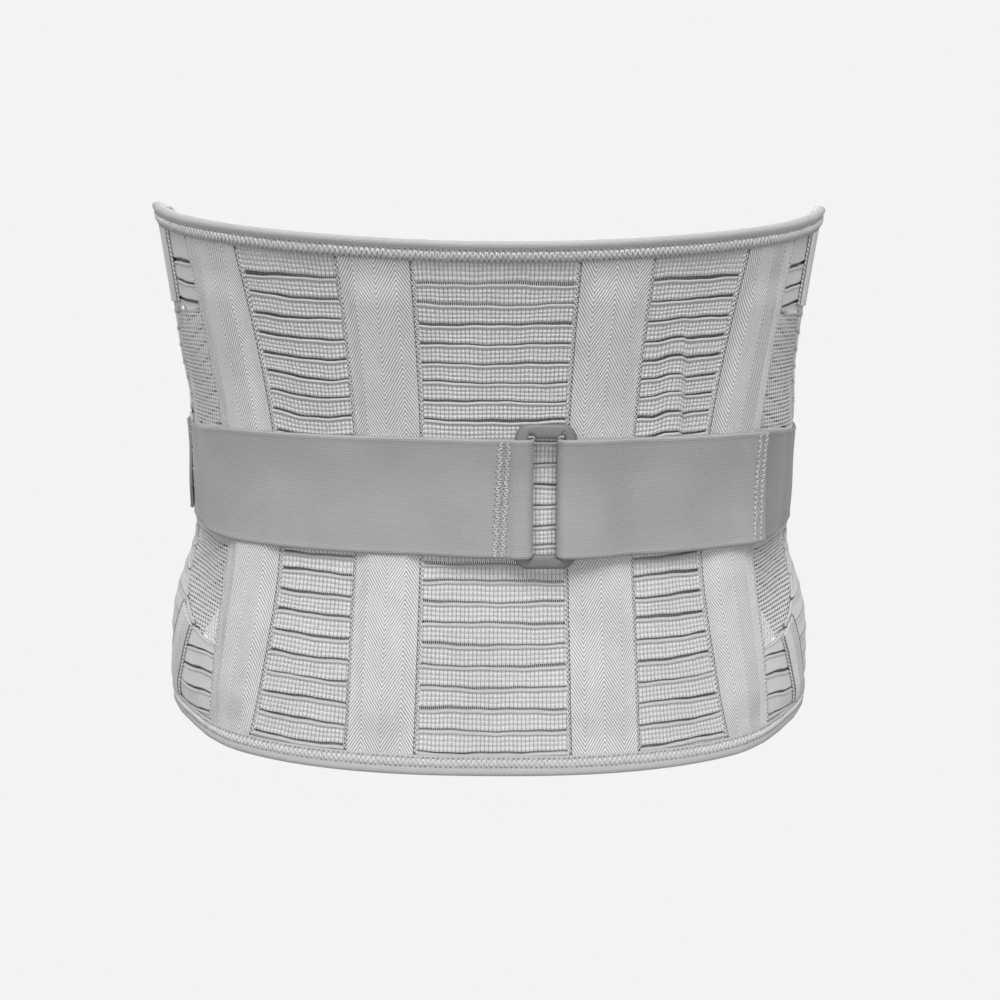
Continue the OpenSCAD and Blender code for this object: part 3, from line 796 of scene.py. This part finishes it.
for side, flip in SIDES:
    for where, near, far in (("inner", inner_near, inner_far), ("outer", outer_near, outer_far)):
        width = float(far(110.0) - near(110.0))
        mesh = Mesh()
        webbing(mesh, near, far, back_low, back_top, 1.15, stay_lift(width), flip)
        edge_stitch(mesh, near, SEAM_INSET, flip)
        edge_stitch(mesh, far, -SEAM_INSET, flip)
        piece = mesh.place(f"webbing_{where}_{side}", [HERRING, THREAD, SHADE], "webbing")
        cloth(piece, near, far, back_low, back_top)
        stand_in(piece, f"channel_{where}_{side}")

        mesh = Mesh()
        webbing(mesh, near, far, back_low, back_top, 0.0, no_rise, flip,
                fine=1.0, upward=2.0, relief=0.03, rib_width=0)
        piece = mesh.place(f"lining_web_{where}_{side}", [LINING], "webbing")
        cloth(piece, near, far, back_low, back_top)
        stand_in(piece, f"lining_{where}_{side}")

        v = np.linspace(0, 1, 90)
        stay_length = BACK_HEIGHT - 2 * STAY_END
        rise = np.minimum(v, 1 - v) * stay_length
        half = STAY_WIDTH / 2 - 4 + np.sqrt(np.maximum(0.05, 16 - np.maximum(0, 4 - rise) ** 2))
        z = (STAY_END + stay_length * v)[:, None] + np.zeros(8)
        place = (near(z) + far(z)) / 2 + half[:, None] * np.array([-1, -0.95, 0, 0.95, 1, 0.95, 0, -0.95])
        o = 1.35 + STAY_STEP * 0.35 + 0.8 * np.array([0.5, 1, 1, 1, 0.5, 0, 0, 0]) + 0 * place
        rings = panels(flip * place, z, o)
        mesh = Mesh()
        mesh.sweep(rings if flip > 0 else rings[:, ::-1], np.stack([place, z], -1))
        piece = mesh.place(f"stay_{where}_{side}_strip", [STAY], "stay_plastic")
        stand_in(piece, f"stay_{where}_{side}")


# ---- Mesh inserts ----
HOLE_ACROSS, HOLE_UP, ROW_WAVE = 2.5, 1.85, 0.3
WINDOW_END, STRIP_END = 193.0, 197.0


def netting(mesh, near, low, high, flip):
    """Open knit: wavy rows of wide holes, with rounded bars between them."""
    lo, hi = float(near(120.0)), WINDOW_END
    cols = int((hi - lo + 12) / HOLE_ACROSS)
    rows = int(160 / HOLE_UP)
    i, j = np.meshgrid(np.arange(cols), np.arange(rows), indexing="ij")
    cx = lo - 6 + i * HOLE_ACROSS
    cz = 38 + j * HOLE_UP
    inside = ((cx > near(cz) + 0.9) & (cx < hi - 0.9) & (cz > low(cx) + 0.9) & (cz < high(cx) - 0.9))
    cx, cz = cx[inside], cz[inside]
    # each cell is a six-sided frame round its hole, and the cells share their outer corners
    w, h = HOLE_ACROSS / 2, HOLE_UP / 2
    cell = np.array([[-w, h], [-w, -h], [0, -h - ROW_WAVE], [w, -h], [w, h], [0, h - ROW_WAVE]])
    mid, hole = cell * [0.92, 0.86], cell * [0.84, 0.62]
    layers = [(cell, 0.35), (mid, 0.3), (hole, 0.35), (hole, 0.55), (mid, 0.75), (cell, 0.6)]
    count = len(cx)
    points, charts = [], []
    open_ = 0.68 + 0.32 * smooth((cz - 42) / 45)[:, None]
    for shape, o in layers:
        size = open_ if shape is hole else 1.0
        a = cx[:, None] + size * shape[None, :, 0]
        z = cz[:, None] + size * shape[None, :, 1]
        sag = -1.4 * np.sin(math.pi * np.clip((a - lo) / (hi - lo), 0, 1)) * np.sin(
            math.pi * np.clip((z - low(a)) / np.maximum(high(a) - low(a), 1), 0, 1))
        points.append(panels(flip * a, z, o + sag))
        charts.append(np.stack([a, z], -1))
    points, charts = np.stack(points, 1), np.stack(charts, 1)
    base = np.arange(count)[:, None, None] * 36
    quads = np.array([[L * 6 + k, L * 6 + (k + 1) % 6, (L + 1) * 6 + (k + 1) % 6, (L + 1) * 6 + k]
                      for L in range(5) for k in range(6)])
    if flip > 0:
        quads = quads[:, ::-1]
    # the hole walls and the back faces take the near-black painted shade, and the front faces take the yarn's
    # colour
    mesh.add(points, charts, [(base + quads[None]).reshape(-1, 4)], np.repeat([1, 1, 1, 0, 0], 6))


STRIP_LOW, STRIP_HIGH = 88.0, 142.0
NECK = 4.0


def neck(s):
    """How much lower the top of the stretched strap is at the sides."""
    return NECK * smooth((np.abs(s) - 112) / 66)


def strip_top(s):
    return STRIP_HIGH - neck(s)


for side, flip in SIDES:
    for where, low, high in (("upper", strip_top, window_top), ("lower", window_bottom, straight(STRIP_LOW))):
        mesh = Mesh()
        netting(mesh, outer_far, low, high, flip)
        piece = mesh.place(f"netting_{where}_{side}", [MESH, WALL_SHADE], "mesh")
        cloth(piece, outer_far, straight(WINDOW_END), low, high)
        stand_in(piece, f"side_mesh_{where}_{side}")

    mesh = Mesh()
    cut = lambda z: outer_far(z) - UNDER, straight(STRIP_END), straight(STRIP_LOW - 1), strip_top
    webbing(mesh, *cut, 0.0, no_rise, flip, chevron=40.0, fine=0.8, upward=0.8, rib_width=0,
            relief=0.04)
    piece = mesh.place(f"strip_{side}", [STRIP], "strip_knit")
    cloth(piece, *cut)
    stand_in(piece, f"waist_strip_{side}")


# ---- Side tapes ----
TAPE_WIDTH, TAPE_MARGIN = 18, 8.5
LOWER_TAPE_SHIFT = {"right": -7.0, "left": 0.0}


def slanted(at_rest, slope, level, shift=0.0):
    """A tape's edge: its place at one level, and how far it leans for each millimetre up."""
    return lambda z: at_rest + slope * (z - level) + shift


for side, flip in SIDES:
    aside = LOWER_TAPE_SHIFT[side]
    for where, near, far, low, high in (
            ("upper", slanted(160, 0.12, 197), slanted(160, 0.12, 197, TAPE_WIDTH), straight(196.0),
             lambda s: top_edge(s) - TAPE_MARGIN),
            ("lower", slanted(172, -0.55, 10, aside), slanted(172, -0.55, 10, TAPE_WIDTH + aside),
             straight(TAPE_MARGIN), lambda s: window_bottom(s) - 1)):
        mesh = Mesh()
        webbing(mesh, near, far, low, high, 1.9, no_rise, flip, chevron=9.0, thickness=0.85)
        piece = mesh.place(f"tape_{where}_{side}", [HERRING, THREAD, SHADE], "webbing")
        cloth(piece, near, far, low, high)
        stand_in(piece, f"side_tape_{where}_{side}")


# ---- Bindings ----
BIND = 8.2  # depth of the folded binding, whose cut width is twice that and its fold
bind_profile = np.array([
    [BIND, -1.2], [BIND * 0.75, -1.3], [BIND * 0.4, -1.3], [2.2, -1.45], [0.9, -1.35], [0.2, -0.8], [0, 0.1],
    [0, 1.0], [0.15, 2.2], [0.7, 3.1], [1.7, 3.55], [2.6, 3.55], [3.2, 3.3], [3.6, 3.1], [4.2, 3.1],
    [5.6, 3.15], [7.1, 3.1], [7.8, 3.0], [BIND, 2.5], [BIND, 2.2], [4.0, 2.3], [1.2, 2.2], [1.2, -0.3],
    [4.0, -0.3], [BIND, -0.3]])
ZIG_PITCH, ZIG_LOW, ZIG_HIGH, SEAM_THREAD_RADIUS = 2.15, 7.2, 4.0, 0.36
NEEDLE_ROWS = (13, 16)


def binding(mesh, path, lift, lay, flip, face=0.0):
    """Fold-over elastic along a path in a chart, with its row of zigzag stitches."""
    way = heading(path)
    inward = np.stack([way[:, 1], -way[:, 0]], 1)
    length = run_length(path)
    wobble = 0.12 * np.sin(length * 0.11) + 0.08 * np.sin(length * 0.37 + 1)
    q = bind_profile
    a = path[:, 0:1] + inward[:, 0:1] * q[None, :, 0]
    z = path[:, 1:2] + inward[:, 1:2] * q[None, :, 0]
    drop = face * (q[None, :, 1] > 2.0)
    o = q[None, :, 1] - drop + wobble[:, None] * (q[None, :, 1] > 2.8) + lift(a)
    chart = grid(length[:, None], q[None, :, 0])
    rings = laid(lay, flip, a, z, o)
    # the faces at the needle holes take the dark painted shade
    beat = np.mod(length[:-1] / ZIG_PITCH, 1)
    holes = np.zeros((len(length) - 1, len(q)), int)
    holes[:, NEEDLE_ROWS[0]] = np.abs(beat - 0.5) < 0.2
    holes[:, NEEDLE_ROWS[1]] = np.abs(beat - 0.5) > 0.3
    if flip < 0:
        rings, chart, holes = rings[:, ::-1], chart[:, ::-1], np.roll(holes[:, ::-1], -1, axis=1)
    mesh.sweep(rings, chart, holes.ravel() * 2)
    # the zigzag thread, which dips at its needle holes
    count = int(length[-1] / (ZIG_PITCH / 8))
    run_ = np.linspace(0.5, length[-1] - 0.5, count)
    swing = np.abs(np.mod(run_ / ZIG_PITCH, 1) * 2 - 1)
    pa, pz = np.interp(run_, length, path[:, 0]), np.interp(run_, length, path[:, 1])
    na, nz = np.interp(run_, length, inward[:, 0]), np.interp(run_, length, inward[:, 1])
    reach = ZIG_HIGH + (ZIG_LOW - ZIG_HIGH) * swing + 0.12 * np.sin(run_ * 0.9)
    dip = 0.55 * (1 - smooth(np.minimum(swing, 1 - swing) / 0.16))
    ta, tz = pa + na * reach, pz + nz * reach
    stitches(mesh, laid(lay, flip, ta, tz, 3.2 - face - dip + lift(ta)), SEAM_THREAD_RADIUS, 1)


def no_lift(s):
    return 0 * s


for where, edge, level, way in (("top", top_edge, BACK_HEIGHT, 1), ("bottom", hem_edge, 0.0, -1)):
    reach = float(split_line(level))
    s = np.linspace(-reach * way, reach * way, 900)
    path = np.stack([s, edge(s)], 1)
    mesh = Mesh()
    binding(mesh, path, no_lift, panels, 1.0)
    piece = mesh.place(f"binding_{where}", [BINDING, THREAD, NEEDLE_SHADE], "binding")
    stand_in(piece, f"{where}_binding_back")

# ---- Wings ----
WING_STEP, STEP_START, STEP_LENGTH = 4.4, 150.0, 70.0
OVERLAP, CORNER, SEAM = 45.0, 22.0, 112.0


def step_up(d):
    return WING_STEP * smooth((STEP_START + d) / STEP_LENGTH)


def edge_at(edge, d, start):
    z = start + 0 * np.asarray(d, float)
    for _ in range(5):
        z = edge(half_girth(z) + d)
    return z


def front_top(d):
    return edge_at(top_edge, d, FRONT_HIGH)


def front_hem(d):
    return edge_at(hem_edge, d, FRONT_LOW)


def wing_low(d):
    return front_hem(d) + EDGE


def wing_high(d):
    return front_top(d) - EDGE


def wing_start(z):
    return split_line(z) - half_girth(z)


def bend(piece):
    """Bakes the placement of a piece that crosses the side line into its points."""
    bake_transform(piece)


def wing_outline():
    """The wing's edge from its top at the side line, round its free corners, to its hem."""
    start = float(split_line(BACK_HEIGHT)) - 0.4
    t0 = start - float(half_girth(top_edge(start)))
    h0 = float(wing_start(np.array(0.0)))
    turn = OVERLAP - CORNER
    d = np.linspace(t0, turn, 520)
    high_corner = np.radians(np.arange(85, -1, -5))
    low_corner = np.radians(np.arange(0, -86, -5))
    side_z = np.linspace(FRONT_HIGH - CORNER, FRONT_LOW + CORNER, 60)[1:-1]
    parts = [np.stack([d, front_top(d)], 1),
             np.stack([turn + CORNER * np.cos(high_corner),
                       FRONT_HIGH - CORNER + CORNER * np.sin(high_corner)], 1),
             np.stack([OVERLAP + 0 * side_z, side_z], 1),
             np.stack([turn + CORNER * np.cos(low_corner),
                       FRONT_LOW + CORNER + CORNER * np.sin(low_corner)], 1)]
    d = np.linspace(turn, h0, 520)
    parts.append(np.stack([d, front_hem(d)], 1))
    return np.concatenate(parts)


def pile_sheet(mesh, d0, d1, low, high, inner, outer, flip, pitch=1.2, fuzz=0.12, lift=no_lift):
    """Closed sheet of pile fabric in a wing's chart."""
    cols, rows = int((d1 - d0) / pitch), int(150 / pitch)
    d = np.linspace(d0, d1, cols)
    v = np.linspace(0, 1, rows)
    lo, hi = low(d), high(d)
    z = lo[None, :] + (hi - lo)[None, :] * v[:, None]
    dd = np.broadcast_to(d[None, :], z.shape)
    grain = fuzz * rng.uniform(-1, 1, z.shape)
    edge = np.minimum(np.minimum(dd - d0, d1 - dd), np.minimum(z - lo[None, :], hi[None, :] - z))
    round_ = 0.5 * (1 - smooth(edge / 1.5))
    top = laid(wrap_front, flip, dd, z, outer - round_ + grain + lift(dd))
    under = laid(wrap_front, flip, dd, z, inner + 0.3 * round_ + lift(dd))
    n = rows * cols
    i, j = np.meshgrid(np.arange(rows - 1), np.arange(cols - 1), indexing="ij")
    a = (i * cols + j).ravel()
    quads = np.stack([a, a + 1, a + cols + 1, a + cols], 1)
    rim = np.concatenate([np.arange(cols), np.arange(1, rows) * cols + cols - 1,
                          (rows - 1) * cols + np.arange(cols - 2, -1, -1),
                          np.arange(rows - 2, 0, -1) * cols])
    nxt = np.roll(rim, -1)
    wall = np.stack([rim, rim + n, nxt + n, nxt], 1)
    faces = np.concatenate([quads, quads[:, ::-1] + n, wall])
    if flip > 0:
        faces = faces[:, ::-1]
    chart = np.stack([dd, z], -1)
    mesh.add(np.concatenate([top.reshape(-1, 3), under.reshape(-1, 3)]),
             np.concatenate([chart.reshape(-1, 2)] * 2), [faces])


def corner_inset(d, tip, radius):
    c = np.clip(d - tip + radius, 0, radius - 0.3)
    return radius - np.sqrt(radius * radius - c * c)


for side, flip in SIDES:
    wing = f"wing_{side}"
    over = 1.0 if side == "right" else 0.0

    def lift(d, over=over):
        return over * step_up(d)

    def raised(d, z, o, over=over):
        return wrap_front(d, z, o + over * step_up(d))

    mesh = Mesh()
    cut = wing_start, straight(-SEAM), wing_low, wing_high
    knit(mesh, *cut, lay=raised, to_s=lambda d, z: half_girth(z) + d, flip=flip, coarse=True, plain=True)
    piece = mesh.place(f"knit_wing_{side}", [SMOOTH_KNIT, LADDER_SHADE, LIP], "knit")
    cloth(piece, *cut)
    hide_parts(f"wing_panel_{side}")
    bend(piece)

    mesh, outline = Mesh(), wing_outline()
    binding(mesh, outline, lift, wrap_front, flip, face=0.5)
    piece = mesh.place(f"binding_wing_{side}", [BINDING, THREAD, NEEDLE_SHADE], "binding")
    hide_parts(f"edge_binding_{side}")
    bend(piece)

    tip, radius = OVERLAP - EDGE, CORNER - EDGE
    mesh = Mesh()
    pile_sheet(mesh, -SEAM + 0.2, tip, lambda d: wing_low(d) + corner_inset(d, tip, radius),
               lambda d: wing_high(d) - corner_inset(d, tip, radius), 0.1, 1.7, flip, lift=lift)
    name = "closure_cover" if side == "right" else "closure_loop"
    piece = mesh.place(name, [LOOP], "loop_fabric")
    cloth(piece, straight(-SEAM), straight(tip), wing_low, wing_high)
    stand_in(piece, f"{name}_panel", wing)

HOOK_HALF, HOOK_LOW, HOOK_HIGH = 30.0, 54.0, 172.0
mesh = Mesh()
pile_sheet(mesh, -HOOK_HALF, HOOK_HALF, straight(HOOK_LOW), straight(HOOK_HIGH), 2.1, 4.0, 1.0, pitch=1.0,
           fuzz=0.25)
piece = mesh.place("hook_patch", [HOOK], "hook_fabric")
cloth(piece, straight(-HOOK_HALF), straight(HOOK_HALF), straight(HOOK_LOW), straight(HOOK_HIGH))
stand_in(piece, "closure_hook_patch", "wing_right")

# ---- Pull straps ----
STRAP_LEVEL, STRAP_WIDTH, STRAP_THICK = 116.5, 50.0, 1.5
STRAP_LOW, STRAP_TOP = STRAP_LEVEL - STRAP_WIDTH / 2, STRAP_LEVEL + STRAP_WIDTH / 2
STRAP_OFFSET, RING_OFFSET, LOOP_RADIUS = 3.6, 7.4, 3.1
BUCKLE, BUCKLE_WIDTH, BAR = 22.75, 25.6, 4.9
RIGHT_SEAM = 124.5
WEB = 1.0
PLY = STRAP_OFFSET + STRAP_THICK / 2
LEFT_BEND = BUCKLE - BUCKLE_WIDTH / 2 + BAR - STRAP_THICK / 2
RIGHT_BEND = BUCKLE + BUCKLE_WIDTH / 2 - BAR + STRAP_THICK / 2
STRAP_SPLIT = float(hinge_line(STRAP_LEVEL)) - SPLIT


def strap(mesh, path, thickness, lay=wrap, flip=1.0, turned=False):
    """Woven strap on edge: a path of (s, offset) swept over its width, with a selvedge."""
    low, high = STRAP_LOW, STRAP_TOP
    way = heading(path)
    out = np.stack([-way[:, 1], way[:, 0]], 1)
    length = run_length(path)
    v = np.linspace(0, 1, 54)
    edge = np.minimum(v, 1 - v) * (high - low)
    crown = thickness / 2 - 0.35 * (1 - smooth(edge / 0.6)) + 0.3 * smooth((2.1 - edge) / 0.5) * smooth(
        (edge - 0.5) / 0.5)
    v_all = np.concatenate([v, v[::-1]])
    d_all = np.concatenate([crown, -crown[::-1]])
    a = path[:, 0:1] + out[:, 0:1] * d_all[None, :]
    o = path[:, 1:2] + out[:, 1:2] * d_all[None, :]
    place = a if lay is wrap else half_girth(STRAP_LEVEL) + a
    z = low + (high - low - neck(place)) * v_all[None, :]
    ripple = 0.1 * np.sin(a * 0.16 + z * 0.05) * np.sin(z * 0.11)
    chart = grid(length[:, None], z - (low + high) / 2)
    if turned:
        chart = chart[..., ::-1]
    mesh.sweep(laid(lay, flip, a, z, o + ripple), chart)


def strap_piece(name, node, path, thickness, material, slot, turned=False):
    mesh = Mesh()
    strap(mesh, path, thickness, turned=turned)
    piece = mesh.place(name, material, slot)
    stand_in(piece, node)


def ply(s):
    """The offset of a single strap ply, which lies closer at the sides."""
    away = np.abs(s)
    hold = (0.5 + 0.5 * smooth((208 - away) / 20)) * smooth((275 - away) / 30)
    return PLY - 2.4 * smooth((away - 140) / 18) * hold


def left_upper(s):
    over = RING_OFFSET + LOOP_RADIUS
    return ply(s) - PLY + (PLY + (RING_OFFSET + 0.85 - PLY) * smooth((s + 34) / 32)
            + (over - RING_OFFSET - 0.85) * smooth((s - LEFT_BEND + 8) / 5))


def left_lower(s):
    return RING_OFFSET - 0.85 + (0.85 - LOOP_RADIUS) * smooth((s - LEFT_BEND + 8) / 5)


def right_upper(s):
    step = STRAP_THICK + 0.15
    over = RING_OFFSET + LOOP_RADIUS
    return (PLY + step + (over - PLY - step) * (1 - smooth((s - RIGHT_BEND - 6) / 26))
            + (WEB + 0.15) * smooth((s - RIGHT_SEAM + 18) / 10))


def arc(place, first, last):
    turn = np.radians(np.linspace(first, last, 31))
    return np.stack([place + LOOP_RADIUS * np.cos(turn), RING_OFFSET + LOOP_RADIUS * np.sin(turn)], 1)


s = np.linspace(-STRAP_SPLIT, LEFT_BEND, 260)
back_s = np.linspace(LEFT_BEND, LEFT_BEND - 15.2, 24)
path = np.concatenate([np.stack([s, left_upper(s)], 1)[:-1], arc(LEFT_BEND, 85, -85),
                       np.stack([back_s, left_lower(back_s)], 1)[1:]])
strap_piece("strap_left_elastic", "strap_left", path, STRAP_THICK, [STRAP, THREAD], "strap_elastic")

reach = RIGHT_SEAM + 1.9
s = np.linspace(RIGHT_BEND, reach, 130)
path = np.concatenate([np.stack([s[::-1], RING_OFFSET - LOOP_RADIUS + 0 * s], 1)[:-1],
                       arc(RIGHT_BEND, -95, -265), np.stack([s, right_upper(s)], 1)[1:]])
strap_piece("strap_right_elastic", "strap_right", path, STRAP_THICK, [STRAP, THREAD], "strap_elastic")

between = PLY + STRAP_THICK / 2 + 0.15 + WEB / 2
s = np.linspace(RIGHT_SEAM - 5, STRAP_SPLIT, 90)
path = np.stack([s, ply(s) - PLY + between + (PLY - between) * smooth((s - RIGHT_SEAM - 6) / 18)], 1)
strap_piece("pull_webbing", "strap_webbing_right", path, WEB, [PULL], "pull_webbing", turned=True)


def seam_rows(name, node, places, top, width=1.7, pitch=2.3):
    """Upright rows of zigzag stitches through a strap."""
    mesh = Mesh()
    for place in places:
        z = np.arange(STRAP_LOW + 0.8, STRAP_TOP - 0.8 - float(neck(place)), pitch / 8)
        swing = swing_at(z, pitch)
        s_ = place + 0.045 * (z - STRAP_LEVEL) + width / 2 * swing + 0.25 * np.sin(z * 0.8 + place)
        dip = 0.4 * (1 - smooth((1 - np.abs(swing)) / 0.3))
        stitches(mesh, wrap(s_, z, top(s_) + STRAP_THICK / 2 + 0.15 - dip), 0.4, 0)
        # short dark threads at each turn are painted shade of the needle holes
        for turn in np.flatnonzero(np.abs(swing) > 0.9):
            edge = s_[turn] + np.sign(swing[turn]) * np.array([0.1, 0.4, 0.7])
            stitches(mesh, wrap(edge, z[turn] + 0 * edge, top(edge) + STRAP_THICK / 2 + 0.04), 0.3, 1)
    piece = mesh.place(name, [SEAM_THREAD, NEEDLE_SHADE], "thread")
    stand_in(piece, node)


seam_rows("seam_left", "strap_seam_left", (3.4, 6.6), left_upper)
seam_rows("seam_right", "strap_seam_right", (120.2, 124.0), right_upper)

# ---- Buckle ----
lo, hi = (np.array(v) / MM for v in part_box("buckle_ring"))


def ring_frame():
    """Middle and axes of the ring: along its width, its height and its thickness."""
    low = wrap(BUCKLE, STRAP_LOW, RING_OFFSET)
    high = wrap(BUCKLE, STRAP_TOP, RING_OFFSET)
    up = (high - low) / np.linalg.norm(high - low)
    across = wrap(BUCKLE + 6, STRAP_LEVEL, 0) - wrap(BUCKLE - 6, STRAP_LEVEL, 0)
    across -= up * (across @ up)
    across /= np.linalg.norm(across)
    return across, up, np.cross(up, across)


across, up, out = ring_frame()
out = out * np.sign(-out[1])
middle = (lo + hi) / 2


def rounded_path(width, height, radius, steps=10):
    turn = np.linspace(0, math.pi / 2, steps)
    points = []
    for k, (sx, sz) in enumerate(((1, 1), (-1, 1), (-1, -1), (1, -1))):
        angle = turn + k * math.pi / 2
        points.append(np.stack([sx * (width / 2 - radius) + radius * np.cos(angle),
                                sz * (height / 2 - radius) + radius * np.sin(angle)], 1))
    return np.concatenate(points)


RING_HEIGHT, RING_THICK, END_BAR, RIDGE = 60.8, 3.0, 4.5, 1.4


def even(path, count=200):
    """The closed path again with evenly spread points, from its crossing of the long axis."""
    loop_ = np.concatenate([path, path[:1]])
    length = run_length(loop_)
    angle = np.unwrap(np.arctan2(loop_[:, 1] / RING_HEIGHT, loop_[:, 0] / BUCKLE_WIDTH))
    at = np.interp(angle[0] + np.linspace(0, 2 * math.pi, count, endpoint=False), angle, length)
    return np.stack([np.interp(at, length, loop_[:, 0]), np.interp(at, length, loop_[:, 1])], 1)


outer = even(rounded_path(BUCKLE_WIDTH, RING_HEIGHT, 6.0))
inner = even(rounded_path(BUCKLE_WIDTH - 2 * BAR, RING_HEIGHT - 2 * END_BAR, 1.0))
inner[:, 1] -= np.sign(inner[:, 1]) * RIDGE * smooth((4.9 - np.abs(inner[:, 0])) / 0.5) * (
    np.abs(inner[:, 1]) > RING_HEIGHT / 2 - END_BAR - 0.2)
share = np.array([0, 0.0, 0.1, 0.28, 0.72, 0.9, 1, 1, 0.9, 0.72, 0.28, 0.1])
rise = np.array([-0.25, 0.25, 0.44, 0.5, 0.5, 0.44, 0.25, -0.25, -0.44, -0.5, -0.5, -0.44]) * RING_THICK
flat = inner[:, None, :] + (outer - inner)[:, None, :] * share[None, :, None]
rings = (middle + flat[..., 0:1] * across + flat[..., 1:2] * up
         + np.broadcast_to(rise, flat.shape[:2])[..., None] * out)
mesh = Mesh()
mesh.sweep(rings[:, ::-1], flat[:, ::-1], loop=True)
piece = mesh.place("ring", [PLASTIC], "buckle_plastic")
stand_in(piece, "buckle_ring", "buckle")

# ---- Front runs of the straps, and their tabs ----
def strap_chart(d, z, o):
    """A wing's chart that meets the back's at the side line, for a strap that runs across it."""
    level = float(half_girth(STRAP_LEVEL))
    share = smooth((level + d - STRAP_SPLIT) / 80)
    return wrap(level + d + share * (half_girth(z) - level), z, o)


TAB_ROOT, TAB_TIP, TAB_HALF = 130.0, 57.0, 28.0
for side, flip in SIDES:
    wing, tab = f"wing_{side}", f"tab_{side}"
    over = 1.0 if side == "right" else 0.0
    d = np.linspace(STRAP_SPLIT - float(half_girth(STRAP_LEVEL)), -TAB_ROOT - 2.5, 130)
    thickness = WEB if side == "right" else STRAP_THICK
    path = np.stack([d, ply(half_girth(STRAP_LEVEL) + d) + over * step_up(d)], 1)
    mesh = Mesh()
    strap(mesh, path, thickness, lay=strap_chart, flip=flip, turned=side == "right")
    piece = mesh.place(f"strap_side_{side}", [PULL if side == "right" else STRAP],
                       "pull_webbing" if side == "right" else "strap_elastic")
    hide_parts(f"strap_front_{side}")
    bend(piece)

    def lift(d, over=over):
        return over * step_up(d)

    for name, node, material, slot, inset, inner, outer, weave in (
            ("tab_cover", "strap_tab", LOOP, "loop_fabric", 0, 3.8, 5.5, {}),
            ("tab_hooks", "tab_hook", HOOK, "hook_fabric", 5, 2.3, 3.6, {"fuzz": 0.2, "pitch": 1.0})):
        near, far, half = -TAB_ROOT + inset, -TAB_TIP - inset, TAB_HALF - inset
        low, high = straight(STRAP_LEVEL - half), straight(STRAP_LEVEL + half)
        mesh = Mesh()
        pile_sheet(mesh, near, far, low, high, inner, outer, flip, lift=lift, **weave)
        piece = mesh.place(f"{name}_{side}", [material], slot)
        cloth(piece, straight(near), straight(far), low, high)
        stand_in(piece, f"{node}_{side}", tab)

# ---- Floor, light and camera ----
scene = bpy.context.scene
scene.view_settings.view_transform = "Standard"
floor_mesh = bpy.data.meshes.new("floor")
FLOOR, PALE = 30.0, 0.9
floor_mesh.from_pydata([(-FLOOR, -FLOOR, 0), (FLOOR, -FLOOR, 0), (FLOOR, FLOOR, 0), (-FLOOR, FLOOR, 0)], [],
                       [(0, 1, 2, 3)])
floor = bpy.data.objects.new("floor", floor_mesh)
scene.collection.objects.link(floor)
n = Nodes("pale_floor", 1.0, specular=0.0)
pale = n.material
n.shader.inputs["Base Color"].default_value = (0, 0, 0, 1)
n.shader.inputs["Emission Color"].default_value = (1, 1, 1, 1)
n.shader.inputs["Emission Strength"].default_value = PALE
floor_mesh.materials.append(pale)
floor.visible_diffuse = False

AMBIENT = 0.26
world = bpy.data.worlds.new("studio")
scene.world = world
world.use_nodes = True
background = world.node_tree.nodes["Background"]
background.inputs["Color"].default_value = (1, 1, 1, 1)
seen = world.node_tree.nodes.new("ShaderNodeLightPath")
level = world.node_tree.nodes.new("ShaderNodeMath")
level.operation = "MULTIPLY_ADD"
level.inputs[1].default_value = PALE - AMBIENT
level.inputs[2].default_value = AMBIENT
world.node_tree.links.new(seen.outputs["Is Camera Ray"], level.inputs[0])
world.node_tree.links.new(level.outputs[0], background.inputs["Strength"])


def softbox(name, place, aim, size, power):
    light = bpy.data.lights.new(name, "AREA")
    light.shape = "RECTANGLE"
    light.size, light.size_y = size
    light.energy = power
    lamp = bpy.data.objects.new(name, light)
    scene.collection.objects.link(lamp)
    lamp.visible_camera = False
    lamp.location = place
    way = np.array(aim, float) - np.array(place, float)
    lamp.rotation_euler = mathutils.Vector(way).to_track_quat("-Z", "Y").to_euler()


softbox("key_overhead", (0.0, -0.75, 1.15), (0, -0.05, 0.1), (1.0, 0.6), 16.5)
softbox("fill_front", (0.0, -1.9, 0.35), (0, 0, 0.12), (1.6, 1.0), 14.5)
softbox("fill_far", (0.0, 1.7, 0.9), (0, 0, 0.1), (1.4, 0.9), 30.0)
softbox("fill_left", (-1.9, 0.5, 0.6), (0, 0, 0.1), (1.0, 0.8), 5.0)
softbox("fill_right", (1.9, 0.5, 0.6), (0, 0, 0.1), (1.0, 0.8), 5.0)

camera = bpy.data.cameras.new("camera")
camera.sensor_width = 36
camera.lens = 36.6
camera.shift_x = 0.004
camera.clip_start, camera.clip_end = 0.01, 100
eye = bpy.data.objects.new("camera", camera)
scene.collection.objects.link(eye)
eye.location = (0.0019, -0.540 + CENTRE_SHIFT * MM, 0.199)
level_view = mathutils.Euler((math.radians(90 - 11.3), 0, math.radians(-0.1))).to_matrix()
eye.rotation_euler = (level_view @ mathutils.Matrix.Rotation(math.radians(0.4), 3, "Z")).to_euler()
scene.camera = eye
